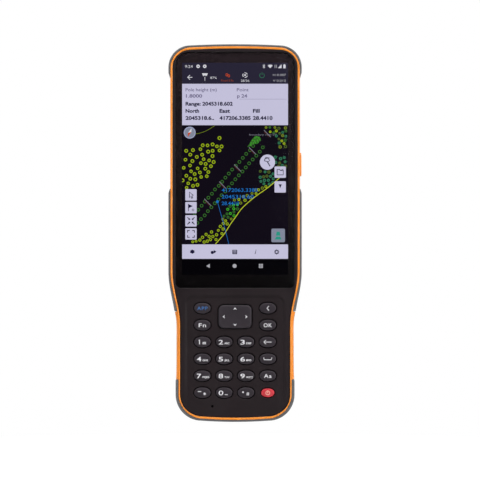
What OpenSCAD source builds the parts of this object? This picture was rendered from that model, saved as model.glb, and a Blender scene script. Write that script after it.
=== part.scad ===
// Rugged handheld data collector with a touch display and a twenty-key pad.
// +Z runs along the length towards the display end, and the display faces -Y.
// The origin is the centre of the body. All sizes are in millimetres.

/* [Body] */
// Width of the orange band at the display end
band_w_top = 76.4; // [75.6:0.2:77.2]
// Width of the orange band at the keypad end
band_w_low = 66.9; // [66.4:0.1:67.4]
// Length of the orange band
band_len = 220.4; // [219.6:0.2:221.2]
// Thickness of the body from the front rim to the back
body_t = 18; // [17.8:0.1:18.4]
// Thickness of the orange band's wall
band_wall = 1; // [0.9:0.05:1.1]
// Thickness of the housing walls
wall = 1.6; // [1.4:0.1:1.7]
// How far the bumpers stand out from the band
bumper_t = 1.1; // [0.9:0.1:1.4]

/* [Display] */
// Width of the cover glass
glass_w = 70.3; // [69.8:0.1:70.5]
// Length of the cover glass
glass_len = 139.1; // [138.6:0.1:139.4]
// Thickness of the cover glass
glass_t = 1.1; // [0.9:0.1:1.1]

/* [Keypad] */
// Distance between key columns
key_pitch_x = 12.84; // [12.5:0.02:12.96]
// Distance between key rows
key_pitch_z = 9.96; // [9.7:0.02:10]
// Width of an oval key cap
key_w = 9.8; // [8.8:0.1:9.9]
// Height of an oval key cap
key_h = 6.4; // [5.6:0.1:6.5]
// Travel of a key
key_travel = 0.6; // [0.4:0.05:0.6]
// Width of the direction pad
dpad_w = 19.5; // [18.5:0.1:19.6]
// Height of the direction pad
dpad_h = 13.7; // [13:0.1:13.8]

/* [Power] */
// Width of the battery pack
battery_w = 55; // [50:0.5:55]
// Length of the battery pack
battery_len = 82; // [74:1:82]
// Thickness of the battery pack
battery_t = 7; // [6:0.1:7]

/* [Hidden] */
$fn = 48;

// Clearances between neighbouring pieces
gap = 0.03;
fit = 0.4;

// Depths along Y, from the front rim to the back
y_front = -body_t / 2;
y_back = body_t / 2;
y_split = 3;
y_lip = y_front + 0.1;
y_glass = y_front + 0.5;
y_ledge = y_glass + glass_t + 0.2;
y_face = y_front + 0.4;
y_face_in = y_face + 1.5;
y_lcd = y_glass + glass_t + 0.05;
y_lcd_back = -5;
y_chassis = -4.9;
y_chassis_low = -3.3;
y_board = -2.6;
y_mat = -5.8;
y_dome_sheet = -4.36;
y_key_board = -4.2;
y_bay = -1;
y_floor = y_back - 1.8;
y_door = y_back - 1.55;
chassis_t = 1;
board_t = 0.8;
mat_t = 0.6;

// Outline of the band
half_top = band_w_top / 2;
half_low = band_w_low / 2;
z_top = band_len / 2;
corner_top = 11.8;
corner_low = 14.2;
arch = 0.7;
waist_top = -23;
waist_low = -54;
corner_steps = 8;
waist_steps = 12;
arch_steps = 4;

// Outer skin of the bumpers, measured from the band
bumper_side_low = bumper_t + 0.5;
bumper_inset = 0.6;
bumper_y = [y_front + 0.6, y_back - 0.4];
grip_t = 1.2;
top_bumper_z = 92;
mid_bumper_z = [-46, 26];
bottom_bumper_z = -86.5;

// Display window
glass_z = [-32.5, -32.5 + glass_len];
glass_corner_top = 8;
glass_corner_low = 3;
ledge_w = 1.6;
lcd_x = 32.8;
lcd_z = [-28, 103];

// Keypad grid
key_top_z = -44.3;
key_open = 0.45;
key_flange = 0.8;
key_flange_y = y_face_in + 0.05;
key_flange_t = 0.6;
key_cap_y = y_front - 0.3;
key_nub_r = 1.2;
key_nub_len = 1.2;
oval_power = 2.15;
oval_steps = 36;
power_key_scale = 0.8;

// Direction pad and its pivot cross
dpad_z = -49.3;
dpad_corner = 3;
dpad_y = y_front - 0.5;
dpad_bottom_y = -6.9;
dpad_reach = [7, 4.6];
pivot_y = -5.5;
pivot_r = 0.7;
pivot_bore = 0.76;
pivot_arm_x = 4.2;
pivot_arm_z = 3.1;
pivot_ear_x = 3.6;
pivot_ear_z = 2;
pivot_ear_t = 0.9;
pivot_gap_x = 4.8;
pivot_gap_z = 2.55;

// Screws and inserts
screw_r = 1;
screw_bore = 1.03;
screw_head_r = 1.9;
screw_head_t = 1.3;
screw_seat_y = 5.6;
screw_tip_y = -3;
boss_r = 2.5;
boss_y = -4.8;
screw_places = [for (side = [-1, 1]) each [
    [side * 31.8, 97], [side * 31.8, 62], [side * 31.8, -22], [side * 22, -101.5],
]];
strap_spacing = 24;
strap_z = [-98, 16];
strap_hole_r = 1.25;
strap_insert_r = 1.9;
strap_insert_len = 4;

// Battery bay and door, all centred on one height
bay_z = -45;
bay_w = battery_w + 2 * fit;
bay_len = battery_len + 2 * fit;
bay_wall = 1.1;
door_w = 58;
door_len = 97;
door_corner = 3;
door_gap = 0.3;
door_screw_reach = 44.6;
door_screw_z = [bay_z - door_screw_reach, bay_z + door_screw_reach];
door_screw_r = 1.2;
door_screw_bore = 1.25;
door_head_r = 2.5;
door_head_t = 0.85;
gasket_w = 0.7;
gasket_t = 0.6;

// Side button
button_z = 40.5;
button_len = 14;
button_h = 5.8;
button_y = -0.3;
button_travel = 0.5;
button_x = [half_top - band_wall + button_travel + 0.05, half_top + bumper_t];

// Charge port and its flap
port_w = 9.6;
port_h = 3.9;
port_y = -1.8;
flap_x = 9;
flap_h = 6.4;
flap_t = 0.9;
flap_z = -z_top - 0.08 - flap_t / 2;

// Rear camera group
camera_x = 17;
camera_z = 91;
flash_x = 6.5;
speaker_x = -17;
speaker_z = 90;
speaker_w = 16;

// A slab of the shape drawn in X and Z, from one depth to another
module slab(from, to) {
    translate([0, to, 0])
        rotate([90, 0, 0])
            linear_extrude(height = to - from) children();
}

// A rod along Y, on a place in X and Z
module rod(place, from, to, r) {
    translate([place[0], from, place[1]])
        rotate([-90, 0, 0])
            cylinder(h = to - from, r = r);
}

// A box between two corners
module block(low, high) {
    translate(low) cube(high - low);
}

function smooth(t) = t <= 0 ? 0 : t >= 1 ? 1 : t * t * (3 - 2 * t);

function waist_x(z, top, low) = low + (top - low) * smooth((z - waist_low) / (waist_top - waist_low));

function arc_points(cx, cz, r, from, to, steps) =
    [for (i = [0 : steps]) let (a = from + (to - from) * i / steps) [cx + r * cos(a), cz + r * sin(a)]];

// Right half of the outline, from the middle of the keypad end to the middle of the display end
function half_outline(side_top, side_low, end, grow) =
    let (rl = corner_low + grow, rt = corner_top + grow)
    concat(
        [for (i = [0 : arch_steps - 1]) let (t = i / arch_steps)
            [(side_low - rl) * t, -end + arch * t * t]],
        arc_points(side_low - rl, -end + arch + rl, rl, -90, 0, corner_steps),
        [for (i = [0 : waist_steps]) let (z = waist_low + (waist_top - waist_low) * i / waist_steps)
            [waist_x(z, side_top, side_low), z]],
        arc_points(side_top - rt, end - arch - rt, rt, 0, 90, corner_steps),
        [for (i = [arch_steps - 1 : -1 : 0]) let (t = i / arch_steps)
            [(side_top - rt) * t, end - arch * t * t]]
    );

function whole_outline(half) = concat(
    half,
    [for (i = [len(half) - 2 : -1 : 1]) [-half[i][0], half[i][1]]]
);

// The band's outline, moved inwards by an amount
module band_outline(inset) {
    polygon(whole_outline(half_outline(half_top - inset, half_low - inset, z_top - inset, -inset)));
}

// The bumpers' outline, moved inwards by an amount
module bumper_outline(inset) {
    polygon(whole_outline(half_outline(
        half_top + bumper_t - inset, half_low + bumper_side_low - inset, z_top + bumper_t - inset,
        bumper_t - inset)));
}

module zone(low, high) {
    translate([-half_top * 2, low]) square([half_top * 4, high - low]);
}

module area(x, z) {
    translate([x[0], z[0]]) square([x[1] - x[0], z[1] - z[0]]);
}

module rounded(x, z, r) {
    area(x, [z[0] + r, z[1] - r]);
    area([x[0] + r, x[1] - r], z);
    for (cx = [x[0] + r, x[1] - r]) for (cz = [z[0] + r, z[1] - r])
        translate([cx, cz]) circle(r = r);
}

// A rectangle with large corners at the top and small ones below
module window(half_w, z, r_top, r_low) {
    intersection() {
        rounded([-half_w, half_w], [z[0], z[1] + r_low * 2], r_low);
        rounded([-half_w, half_w], [z[0] - r_top * 2, z[1]], r_top);
    }
}

// An oval with slightly full ends
module oval(w, h) {
    polygon([for (i = [0 : oval_steps - 1]) let (a = 360 * i / oval_steps, c = cos(a), s = sin(a))
        [w / 2 * sign(c) * pow(abs(c), 2 / oval_power), h / 2 * sign(s) * pow(abs(s), 2 / oval_power)]]);
}

function key_x(column) = (column - 1.5) * key_pitch_x;
function key_z(row) = key_top_z - row * key_pitch_z;

// Every place in the grid that holds a key
KEY_PLACES = [for (row = [0 : 5]) for (column = [0 : 3])
    if (row > 1 || column == 0 || column == 3) [column, row]];
POWER_PLACE = [3, 5];

// The power key is smaller than the others, and so is its opening
function key_scale(place) = place == POWER_PLACE ? power_key_scale : 1;

module key_opening(place) {
    translate([key_x(place[0]), key_z(place[1])])
        oval(key_w * key_scale(place) + 2 * key_open, key_h * key_scale(place) + 2 * key_open);
}

module at_keys() {
    for (place = KEY_PLACES)
        translate([key_x(place[0]), key_z(place[1])]) children();
}

module at_dpad_contacts() {
    for (side = [-1, 1]) {
        translate([side * dpad_reach[0], dpad_z]) children();
        translate([0, dpad_z + side * dpad_reach[1]]) children();
    }
}

module dpad_shape(grow) {
    rounded([-dpad_w / 2 - grow, dpad_w / 2 + grow],
        [dpad_z - dpad_h / 2 - grow, dpad_z + dpad_h / 2 + grow], dpad_corner + grow);
}

// One screw boss with a web that ties it to the side wall
module screw_boss(place) {
    side = sign(place[0]);
    long = place[1] < bottom_bumper_z;
    rod(place, long ? y_face_in - 0.2 : boss_y, y_split - 0.3, boss_r);
    if (!long)
        block([min(place[0], side * 35.6), boss_y, place[1] - 1],
            [max(place[0], side * 35.6), y_split - 0.3, place[1] + 1]);
}

module port_opening(grow) {
    block([-port_w / 2 - grow, port_y - port_h / 2 - grow, -z_top - 3],
        [port_w / 2 + grow, port_y + port_h / 2 + grow, -z_top + 4]);
}

module front_housing() {
    outer = band_wall + gap;
    inner = outer + wall;
    color("#2e2a2c") difference() {
        union() {
            slab(y_face, y_face_in) band_outline(outer);
            slab(y_lip, y_split - 0.02) difference() {
                band_outline(outer);
                band_outline(inner);
            }
            slab(y_lip, y_face_in) difference() {
                intersection() {
                    band_outline(outer);
                    zone(glass_z[0] - 2, z_top);
                }
                window(glass_w / 2 - 1, [glass_z[0] + 1, glass_z[1] - 1], glass_corner_top, glass_corner_low);
            }
            slab(y_ledge, y_ledge + 1) intersection() {
                band_outline(outer);
                zone(glass_z[0] - 3, z_top);
            }
            for (place = screw_places) screw_boss(place);
        }
        slab(y_lip - 1, y_ledge)
            window(glass_w / 2 + 0.1, [glass_z[0] - 0.1, glass_z[1] + 0.1], glass_corner_top, glass_corner_low);
        slab(y_ledge - 1, y_ledge + 2)
            rounded([-glass_w / 2 + ledge_w, glass_w / 2 - ledge_w],
                [glass_z[0] + ledge_w, glass_z[1] - ledge_w], glass_corner_low);
        slab(y_face - 1, y_face + 0.3)
            rounded([-28.3, 28.3], [-103, -37.5], glass_corner_low);
        slab(y_face - 1, y_face_in + 1) for (place = KEY_PLACES) key_opening(place);
        slab(y_face - 1, y_face_in + 1) dpad_shape(key_open);
        for (place = screw_places) rod(place, screw_tip_y - 0.5, y_split + 1, screw_bore);
        rod([-13.4, -102.1], y_face - 1, y_face_in + 1, 0.75);
        port_opening(0);
        translate([half_top - band_wall - wall - 1, button_y, button_z])
            rotate([0, 90, 0]) cylinder(h = wall + 2, r = 1.9);
        slab(y_split - 0.35, y_split + 1) seal_ring(0.05);
    }
}

module rim_band() {
    color("#f29c37") difference() {
        union() {
            slab(y_front, y_split) band_outline(0);
            slab(y_front + 1.2, y_split) intersection() {
                band_outline(-grip_t);
                zone(bottom_bumper_z + 0.3, mid_bumper_z[0] - 0.3);
            }
        }
        slab(y_front - 1, y_split + 1) band_outline(band_wall);
        port_opening(0);
        slab_x(half_top - 3, half_top + 3) button_shape(0.35);
    }
}

// A slab of the shape drawn in Z and Y, from one X to another
module slab_x(from, to) {
    translate([from, 0, 0])
        rotate([0, 90, 0])
            linear_extrude(height = to - from) children();
}

module button_shape(grow) {
    r = button_h / 2 + grow;
    for (side = [-1, 1])
        translate([-button_z + side * (button_len - button_h) / 2, button_y]) circle(r = r);
    translate([-button_z - (button_len - button_h) / 2, button_y - r]) square([button_len - button_h, 2 * r]);
}

// A bumper wraps the band and the rear cover, with an eased edge at the front and back
module bumper(low, high) {
    for (layer = [[bumper_y[0], bumper_y[1], bumper_inset],
            [bumper_y[0] + 0.5, bumper_y[1] - 0.5, 0]])
        slab(layer[0], layer[1]) difference() {
            intersection() {
                bumper_outline(layer[2]);
                zone(low, high);
            }
            band_outline(-gap);
        }
}

module side_bumper(side) {
    intersection() {
        bumper(mid_bumper_z[0], mid_bumper_z[1]);
        block([min(0, side * 60), y_front, mid_bumper_z[0]], [max(0, side * 60), y_back, mid_bumper_z[1]]);
    }
}

module top_bumper() {
    color("#5e6061") bumper(top_bumper_z, z_top + 2);
}

module left_bumper() {
    color("#5e6061") side_bumper(-1);
}

module right_bumper() {
    color("#5e6061") side_bumper(1);
}

module bottom_bumper() {
    color("#5e6061") difference() {
        bumper(-z_top - 2, bottom_bumper_z);
        block([-flap_x - 0.7, port_y - flap_h / 2 - 0.2, -z_top - 3], [flap_x + 0.2, port_y + flap_h / 2 + 0.2, -z_top + 3]);
    }
}

module seal_ring(grow) {
    difference() {
        band_outline(band_wall + 0.5 - grow);
        band_outline(band_wall + 1.2 + grow);
    }
}

module housing_seal() {
    color("#1c1c1e") slab(y_split - 0.32, y_split + 0.34) seal_ring(0);
}

module bay_shape(grow) {
    rounded([-bay_w / 2 - grow, bay_w / 2 + grow],
        [bay_z - bay_len / 2 - grow, bay_z + bay_len / 2 + grow], 1 + grow);
}

module door_shape(grow) {
    rounded([-door_w / 2 - grow, door_w / 2 + grow],
        [bay_z - door_len / 2 - grow, bay_z + door_len / 2 + grow], door_corner + grow);
}

module rear_cover() {
    cover_wall = band_wall + wall;
    color("#2b292b") difference() {
        union() {
            slab(y_split + 0.02, y_back - 1.5) difference() {
                band_outline(0);
                band_outline(cover_wall);
            }
            slab(y_floor, y_back - 1.5) band_outline(0);
            slab(y_floor, y_back - 0.75) band_outline(0.45);
            slab(y_floor, y_back) band_outline(1.3);
            slab(y_bay - 0.8, y_floor + 0.1) bay_shape(bay_wall);
            slab(y_door - 1.2, y_floor + 0.1) door_shape(1);
            for (place = screw_places) rod(place, y_split + 0.05, y_floor + 0.1, boss_r);
            for (z = door_screw_z) rod([0, z], y_split - 1.5, y_floor + 0.1, boss_r);
            for (side = [-1, 1]) for (z = strap_z)
                rod([side * strap_spacing / 2, z], y_back - strap_insert_len - 0.9, y_floor + 0.1, 3);
        }
        slab(y_bay, y_back + 1) bay_shape(0);
        slab(y_door - 0.05, y_back + 1) door_shape(door_gap);
        for (place = screw_places) {
            rod(place, y_split - 1, y_back, screw_r + 0.15);
            rod(place, screw_seat_y, y_back + 1, screw_head_r + 0.2);
        }
        for (z = door_screw_z) rod([0, z], y_split - 1, y_back, door_screw_bore);
        for (side = [-1, 1]) for (z = strap_z)
            rod([side * strap_spacing / 2, z], y_back - strap_insert_len - 0.1, y_back + 1, strap_insert_r);
        block([8, 0.5, bay_z + bay_len / 2 - 1], [20, 4, bay_z + bay_len / 2 + 3]);
        rod([camera_x, camera_z], y_floor - 1, y_back + 1, 4.1);
        rod([camera_x, camera_z], y_back - 0.9, y_back + 1, 5.1);
        rod([flash_x, camera_z], y_floor - 1, y_back + 1, 1.9);
        for (i = [-2 : 2])
            slab(y_floor - 1, y_back + 1)
                rounded([speaker_x + i * 2.6 - 0.6, speaker_x + i * 2.6 + 0.6], [speaker_z - 4, speaker_z + 4], 0.59);
        slab(y_split - 1, y_split + 0.37) seal_ring(0.05);
    }
}

module cover_glass() {
    color("#0a090c") slab(y_glass, y_glass + glass_t)
        window(glass_w / 2, glass_z, glass_corner_top, glass_corner_low);
}

module glass_adhesive() {
    color("#181818") slab(y_glass + glass_t + 0.02, y_ledge - 0.02) difference() {
        window(glass_w / 2 - 0.2, [glass_z[0] + 0.2, glass_z[1] - 0.2], glass_corner_top, glass_corner_low);
        rounded([-glass_w / 2 + ledge_w, glass_w / 2 - ledge_w],
            [glass_z[0] + ledge_w, glass_z[1] - ledge_w], glass_corner_low);
    }
}

module lcd_module() {
    color("#202228") slab(y_lcd, y_lcd_back) rounded([-lcd_x, lcd_x], lcd_z, 1.5);
}

module chassis_plate() {
    color("#a5a8ab") {
        difference() {
            union() {
                slab(y_chassis, y_chassis + chassis_t) rounded([-28.5, 28.5], [-35, 104], 3);
                slab(y_chassis, y_chassis_low + chassis_t) area([-26, 26], [-35.8, -33]);
                slab(y_chassis_low, y_chassis_low + chassis_t - 0.2) area([-26, 26], [-97, -33]);
            }
            for (z = [-20, 4, 28, 52, 76]) rod([0, z], y_chassis - 1, y_chassis + 2, 6);
            for (side = [-1, 1]) for (z = [10, 98])
                rod([side * 26, z], y_chassis - 1, y_board, 0.8);
        }
    }
}

module main_board() {
    color("#1f5a3c") difference() {
        union() {
            slab(y_board, y_board + board_t) area([-28, 28], [8, 101]);
            block([-22, y_chassis + chassis_t + 0.05, 40], [-10, y_board + 0.1, 52]);
            block([6, y_board + board_t - 0.1, 13], [20, y_board + board_t + 1.2, 15]);
        }
        for (side = [-1, 1]) for (z = [10, 98])
            rod([side * 26, z], y_board - 1, y_board + 2, 0.9);
    }
}

module board_shields() {
    color("#c3c6c8") for (patch = [[-24, 36, -2, 58], [2, 36, 24, 62], [-24, 64, -4, 80]])
        slab(y_board + board_t + 0.02, y_board + board_t + 2.2)
            rounded([patch[0], patch[2]], [patch[1], patch[3]], 0.8);
}

module card_socket() {
    color("#b9bcbf") difference() {
        slab(y_board + board_t + 0.02, y_board + board_t + 1.5) area([-22, -7], [14, 30]);
        slab(y_board + board_t + 0.3, y_board + board_t + 1.2) area([-20.5, -8.5], [20, 31]);
    }
}

module gnss_antenna() {
    color("#d8cfb8") {
        slab(1.2, 4.2) rounded([-2, 20], [58, 80], 1);
        slab(4.2, 4.5) rounded([0, 18], [60, 78], 1);
    }
}

module keypad_board() {
    color("#1f5a3c") difference() {
        union() {
            slab(y_key_board, y_key_board + board_t) area([-27, 27], [-98, -37.5]);
            slab(y_key_board, y_key_board + board_t) area([-16.5, 16.5], [-105, -97.5]);
            for (side = [-1, 1])
                block([side * pivot_ear_x - pivot_ear_t / 2, pivot_y - 1.2, dpad_z - 1.2],
                    [side * pivot_ear_x + pivot_ear_t / 2, y_key_board + 0.1, dpad_z + 1.2]);
        }
        translate([-pivot_arm_x - 1, pivot_y, dpad_z])
            rotate([0, 90, 0]) cylinder(h = 2 * pivot_arm_x + 2, r = pivot_bore);
    }
}

module dome_sheet() {
    color("#c9ccd0") {
        slab(y_dome_sheet, y_key_board - 0.02) difference() {
            area([-26, 26], [-97.6, -39]);
            rounded([-pivot_gap_x, pivot_gap_x], [dpad_z - pivot_gap_z, dpad_z + pivot_gap_z], 0.5);
        }
        at_depth(y_dome_sheet + 0.02) {
            at_keys() dome();
            at_dpad_contacts() dome();
        }
    }
}

// Stands shapes drawn on a flat plan up at one depth, so that they point to the front
module at_depth(y) {
    translate([0, y, 0]) rotate([90, 0, 0]) children();
}

module dome() {
    cylinder(h = 0.26, r1 = 2, r2 = 1.1);
}

module keypad_mat() {
    color("#4a4c50") slab(y_mat, y_mat + mat_t) difference() {
        area([-27, 27], [-98, -38]);
        at_keys() circle(r = key_nub_r + 0.4);
        at_dpad_contacts() circle(r = 1.4);
        rounded([-pivot_gap_x, pivot_gap_x], [dpad_z - 3.4, dpad_z + 3.4], 0.5);
    }
}

module dpad_pivot() {
    color("#b4b7ba") translate([0, pivot_y, dpad_z]) {
        translate([-pivot_arm_x, 0, 0]) rotate([0, 90, 0]) cylinder(h = 2 * pivot_arm_x, r = pivot_r);
        translate([0, 0, -pivot_arm_z]) cylinder(h = 2 * pivot_arm_z, r = pivot_r);
        translate([-1, -0.9, -1]) cube([2, 1.8, 2]);
    }
}

module dpad_cap() {
    color("#45464a") difference() {
        union() {
            slab(dpad_y, dpad_bottom_y) dpad_shape(0);
            slab(dpad_bottom_y - 0.1, pivot_y + 0.55) at_dpad_contacts() circle(r = 1);
            for (side = [-1, 1])
                block([-1.1, dpad_bottom_y - 0.1, dpad_z + side * pivot_ear_z - pivot_ear_t / 2],
                    [1.1, pivot_y + 1, dpad_z + side * pivot_ear_z + pivot_ear_t / 2]);
        }
        translate([0, pivot_y, dpad_z - pivot_arm_z - 0.4]) cylinder(h = 2 * pivot_arm_z + 0.8, r = pivot_bore);
    }
}

// A key: the oval cap, a flange that holds it behind the face, and the nub that presses the dome
module key(column, row, size = 1) {
    translate([key_x(column), 0, key_z(row)]) {
        slab(key_cap_y, key_flange_y + 0.1) oval(key_w * size, key_h * size);
        slab(key_flange_y, key_flange_y + key_flange_t) oval(key_w + 2 * key_flange, key_h + 2 * key_flange);
        rod([0, 0], key_flange_y + key_flange_t - 0.1, key_flange_y + key_flange_t + key_nub_len, key_nub_r);
    }
}

module grey_key(column, row) {
    color("#45464a") key(column, row);
}

module key_app() { grey_key(0, 0); }
module key_back() { grey_key(3, 0); }
module key_fn() { grey_key(0, 1); }
module key_ok() { grey_key(3, 1); }
module key_1() { grey_key(0, 2); }
module key_2() { grey_key(1, 2); }
module key_3() { grey_key(2, 2); }
module key_delete() { grey_key(3, 2); }
module key_4() { grey_key(0, 3); }
module key_5() { grey_key(1, 3); }
module key_6() { grey_key(2, 3); }
module key_space() { grey_key(3, 3); }
module key_7() { grey_key(0, 4); }
module key_8() { grey_key(1, 4); }
module key_9() { grey_key(2, 4); }
module key_shift() { grey_key(3, 4); }
module key_star() { grey_key(0, 5); }
module key_0() { grey_key(1, 5); }
module key_hash() { grey_key(2, 5); }

module key_power() {
    color("#e8555f") key(POWER_PLACE[0], POWER_PLACE[1], key_scale(POWER_PLACE));
}

module side_button() {
    stem_x = half_top - band_wall - wall - 0.7;
    color("#f29c37") {
        slab_x(button_x[0], button_x[1]) button_shape(0);
        translate([stem_x, button_y, button_z]) rotate([0, 90, 0]) {
            cylinder(h = button_x[0] - stem_x + 0.1, r = 1.6);
            cylinder(h = 0.5, r = 2.3);
        }
    }
}

module side_switch() {
    face_x = half_top - band_wall - wall - 0.7 - button_travel - 0.05;
    color("#8c8f93") block([face_x - 3, button_y - 1.6, button_z - 3], [face_x, button_y + 1.6, button_z + 3]);
}

module battery_pack() {
    color("#35373b") {
        slab(y_bay + 0.1, y_bay + 0.1 + battery_t)
            rounded([-battery_w / 2, battery_w / 2], [bay_z - battery_len / 2, bay_z + battery_len / 2], 1);
    }
}

module battery_connector() {
    end_z = bay_z + bay_len / 2;
    color("#c8a85a") {
        block([8.1, 0.6, end_z + 0.1], [19.9, 3.9, end_z + 2.6]);
        for (i = [0 : 3]) block([9.2 + i * 2.8, 1.4, end_z - 0.3], [10.2 + i * 2.8, 3, end_z + 0.2]);
    }
}

module gasket_ring(grow) {
    difference() {
        bay_shape(1 + grow);
        bay_shape(1 - gasket_w - grow);
    }
}

module battery_door() {
    color("#2b292b") difference() {
        slab(y_door, y_back) door_shape(0);
        slab(y_door - 1, y_door + gasket_t) gasket_ring(0.05);
        for (z = door_screw_z) {
            rod([0, z], y_door - 1, y_back + 1, door_screw_r + 0.15);
            rod([0, z], y_back - door_head_t - 0.05, y_back + 1, door_head_r + 0.15);
        }
    }
}

module door_gasket() {
    color("#1c1c1e") slab(y_door - 0.02, y_door + gasket_t - 0.03) gasket_ring(0);
}

module door_screw(z) {
    difference() {
        union() {
            rod([0, z], y_split - 0.5, y_back - door_head_t, door_screw_r);
            rod([0, z], y_back - door_head_t - 0.02, y_back - 0.05, door_head_r);
        }
        block([-2 * door_head_r, y_back - 0.5, z - 0.4], [2 * door_head_r, y_back + 1, z + 0.4]);
    }
}

module door_screw_top() {
    color("#b4b7ba") door_screw(door_screw_z[1]);
}

module door_screw_bottom() {
    color("#b4b7ba") door_screw(door_screw_z[0]);
}

module housing_screws() {
    color("#3a3b3e") for (place = screw_places) difference() {
        union() {
            rod(place, screw_tip_y, screw_seat_y + 0.1, screw_r);
            rod(place, screw_seat_y + 0.02, screw_seat_y + screw_head_t, screw_head_r);
        }
        translate([place[0], screw_seat_y + 0.4, place[1]])
            rotate([-90, 0, 0]) cylinder(h = 2, r = 1.05, $fn = 6);
    }
}

module strap_inserts() {
    color("#c8a85a") for (side = [-1, 1]) for (z = strap_z) difference() {
        rod([side * strap_spacing / 2, z], y_back - strap_insert_len, y_back - 0.1, strap_insert_r - 0.02);
        rod([side * strap_spacing / 2, z], y_back - strap_insert_len - 1, y_back + 1, strap_hole_r);
    }
}

module camera_module() {
    color("#17181a") {
        block([camera_x - 4.5, 1.5, camera_z - 4.5], [camera_x + 4.5, y_floor - 1.2, camera_z + 4.5]);
        rod([camera_x, camera_z], y_floor - 1.3, y_back - 1.3, 3.8);
    }
}

module camera_window() {
    color("#0d0e12") rod([camera_x, camera_z], y_back - 0.87, y_back - 0.1, 5);
}

module flash_led() {
    color("#efe9c8") {
        rod([flash_x, camera_z], y_floor - 0.6, y_back - 0.15, 1.8);
        block([flash_x - 2.5, y_floor - 1.2, camera_z - 2.5], [flash_x + 2.5, y_floor - 0.5, camera_z + 2.5]);
    }
}

module speaker() {
    color("#27282b") slab(2.6, y_floor - 0.6)
        rounded([speaker_x - speaker_w / 2, speaker_x + speaker_w / 2], [speaker_z - 6, speaker_z + 6], 2);
}

module speaker_mesh() {
    color("#16171a") slab(y_floor - 0.5, y_floor - 0.05)
        rounded([speaker_x - speaker_w / 2, speaker_x + speaker_w / 2], [speaker_z - 6, speaker_z + 6], 1);
}

module microphone() {
    color("#c3c6c8") block([-15.3, y_key_board - 1.1, -103.6], [-11.5, y_key_board - 0.02, -100.6]);
}

module usb_connector() {
    color("#b4b7ba") difference() {
        block([-port_w / 2 + 0.3, y_key_board + board_t + 0.02, -z_top + 3], [port_w / 2 - 0.3, y_key_board + board_t + 3.2, -z_top + 10]);
        block([-port_w / 2 + 0.6, y_key_board + board_t + 0.35, -z_top + 2], [port_w / 2 - 0.6, y_key_board + board_t + 2.9, -z_top + 9]);
    }
}

// The flap closes the charge port, and its rounded end is the hinge line
module charge_flap() {
    color("#4d4f52") difference() {
        union() {
            block([-flap_x, port_y - flap_h / 2, flap_z - flap_t / 2], [flap_x, port_y + flap_h / 2, flap_z + flap_t / 2]);
            translate([-flap_x, port_y - flap_h / 2, flap_z])
                rotate([-90, 0, 0]) cylinder(h = flap_h, r = flap_t / 2);
            block([-port_w / 2 + 0.5, port_y - port_h / 2 + 0.4, flap_z], [port_w / 2 - 0.5, port_y + port_h / 2 - 0.4, flap_z + flap_t / 2 + 1.2]);
        }
        block([flap_x - 1.5, port_y - 1.5, flap_z - flap_t], [flap_x + 1, port_y + 1.5, flap_z - flap_t / 2 + 0.4]);
    }
}

front_housing();
rim_band();
top_bumper();
left_bumper();
right_bumper();
bottom_bumper();
rear_cover();
housing_seal();
cover_glass();
glass_adhesive();
lcd_module();
chassis_plate();
main_board();
board_shields();
card_socket();
gnss_antenna();
keypad_board();
dome_sheet();
keypad_mat();
dpad_pivot();
dpad_cap();
key_app();
key_back();
key_fn();
key_ok();
key_1();
key_2();
key_3();
key_4();
key_5();
key_6();
key_7();
key_8();
key_9();
key_0();
key_star();
key_hash();
key_delete();
key_space();
key_shift();
key_power();
side_button();
side_switch();
battery_pack();
battery_connector();
battery_door();
door_gasket();
door_screw_top();
door_screw_bottom();
housing_screws();
strap_inserts();
camera_module();
camera_window();
flash_led();
speaker();
speaker_mesh();
microphone();
usb_connector();
charge_flap();
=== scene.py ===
"""Looks of a rugged handheld data collector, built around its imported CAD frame.

Everything is worked out in millimetres, in the frame's own axes: +Z runs along the length towards the
display end, the display faces -Y, and the origin is the body's centre. Meshes are scaled to metres last.
"""

import math
import random

import bpy
import bmesh
import numpy as np
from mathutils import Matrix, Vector
from mathutils.geometry import delaunay_2d_cdt


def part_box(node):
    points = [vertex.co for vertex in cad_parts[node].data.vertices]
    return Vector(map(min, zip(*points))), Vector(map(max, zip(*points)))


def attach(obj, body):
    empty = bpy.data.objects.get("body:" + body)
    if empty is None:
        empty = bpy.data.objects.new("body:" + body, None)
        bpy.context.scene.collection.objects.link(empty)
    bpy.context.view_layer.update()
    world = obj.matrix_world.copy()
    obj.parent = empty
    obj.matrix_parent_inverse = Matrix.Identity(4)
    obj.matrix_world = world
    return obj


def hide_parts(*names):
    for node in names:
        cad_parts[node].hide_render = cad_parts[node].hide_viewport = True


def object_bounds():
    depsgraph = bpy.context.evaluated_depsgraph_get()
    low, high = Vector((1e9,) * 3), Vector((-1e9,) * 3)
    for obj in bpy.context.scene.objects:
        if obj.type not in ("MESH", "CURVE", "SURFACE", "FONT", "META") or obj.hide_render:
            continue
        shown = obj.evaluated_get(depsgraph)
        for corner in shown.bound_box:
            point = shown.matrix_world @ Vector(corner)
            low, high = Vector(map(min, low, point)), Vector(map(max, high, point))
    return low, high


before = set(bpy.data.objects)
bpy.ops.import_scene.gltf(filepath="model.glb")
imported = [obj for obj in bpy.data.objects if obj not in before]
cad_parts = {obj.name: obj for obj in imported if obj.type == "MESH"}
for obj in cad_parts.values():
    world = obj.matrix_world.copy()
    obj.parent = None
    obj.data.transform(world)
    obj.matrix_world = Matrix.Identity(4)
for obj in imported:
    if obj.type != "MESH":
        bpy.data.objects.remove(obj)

MM = 0.001
CAD_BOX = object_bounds()


def box_mm(node):
    """Lowest and highest corners of a node, in millimetres."""
    low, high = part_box(node)
    return Vector(low) / MM, Vector(high) / MM


def middle_mm(node):
    """A node's centre in X and Z, in millimetres."""
    low, high = box_mm(node)
    return (low.x + high.x) / 2, (low.z + high.z) / 2


# ---------------------------------------------------------------- driving sizes

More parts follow.
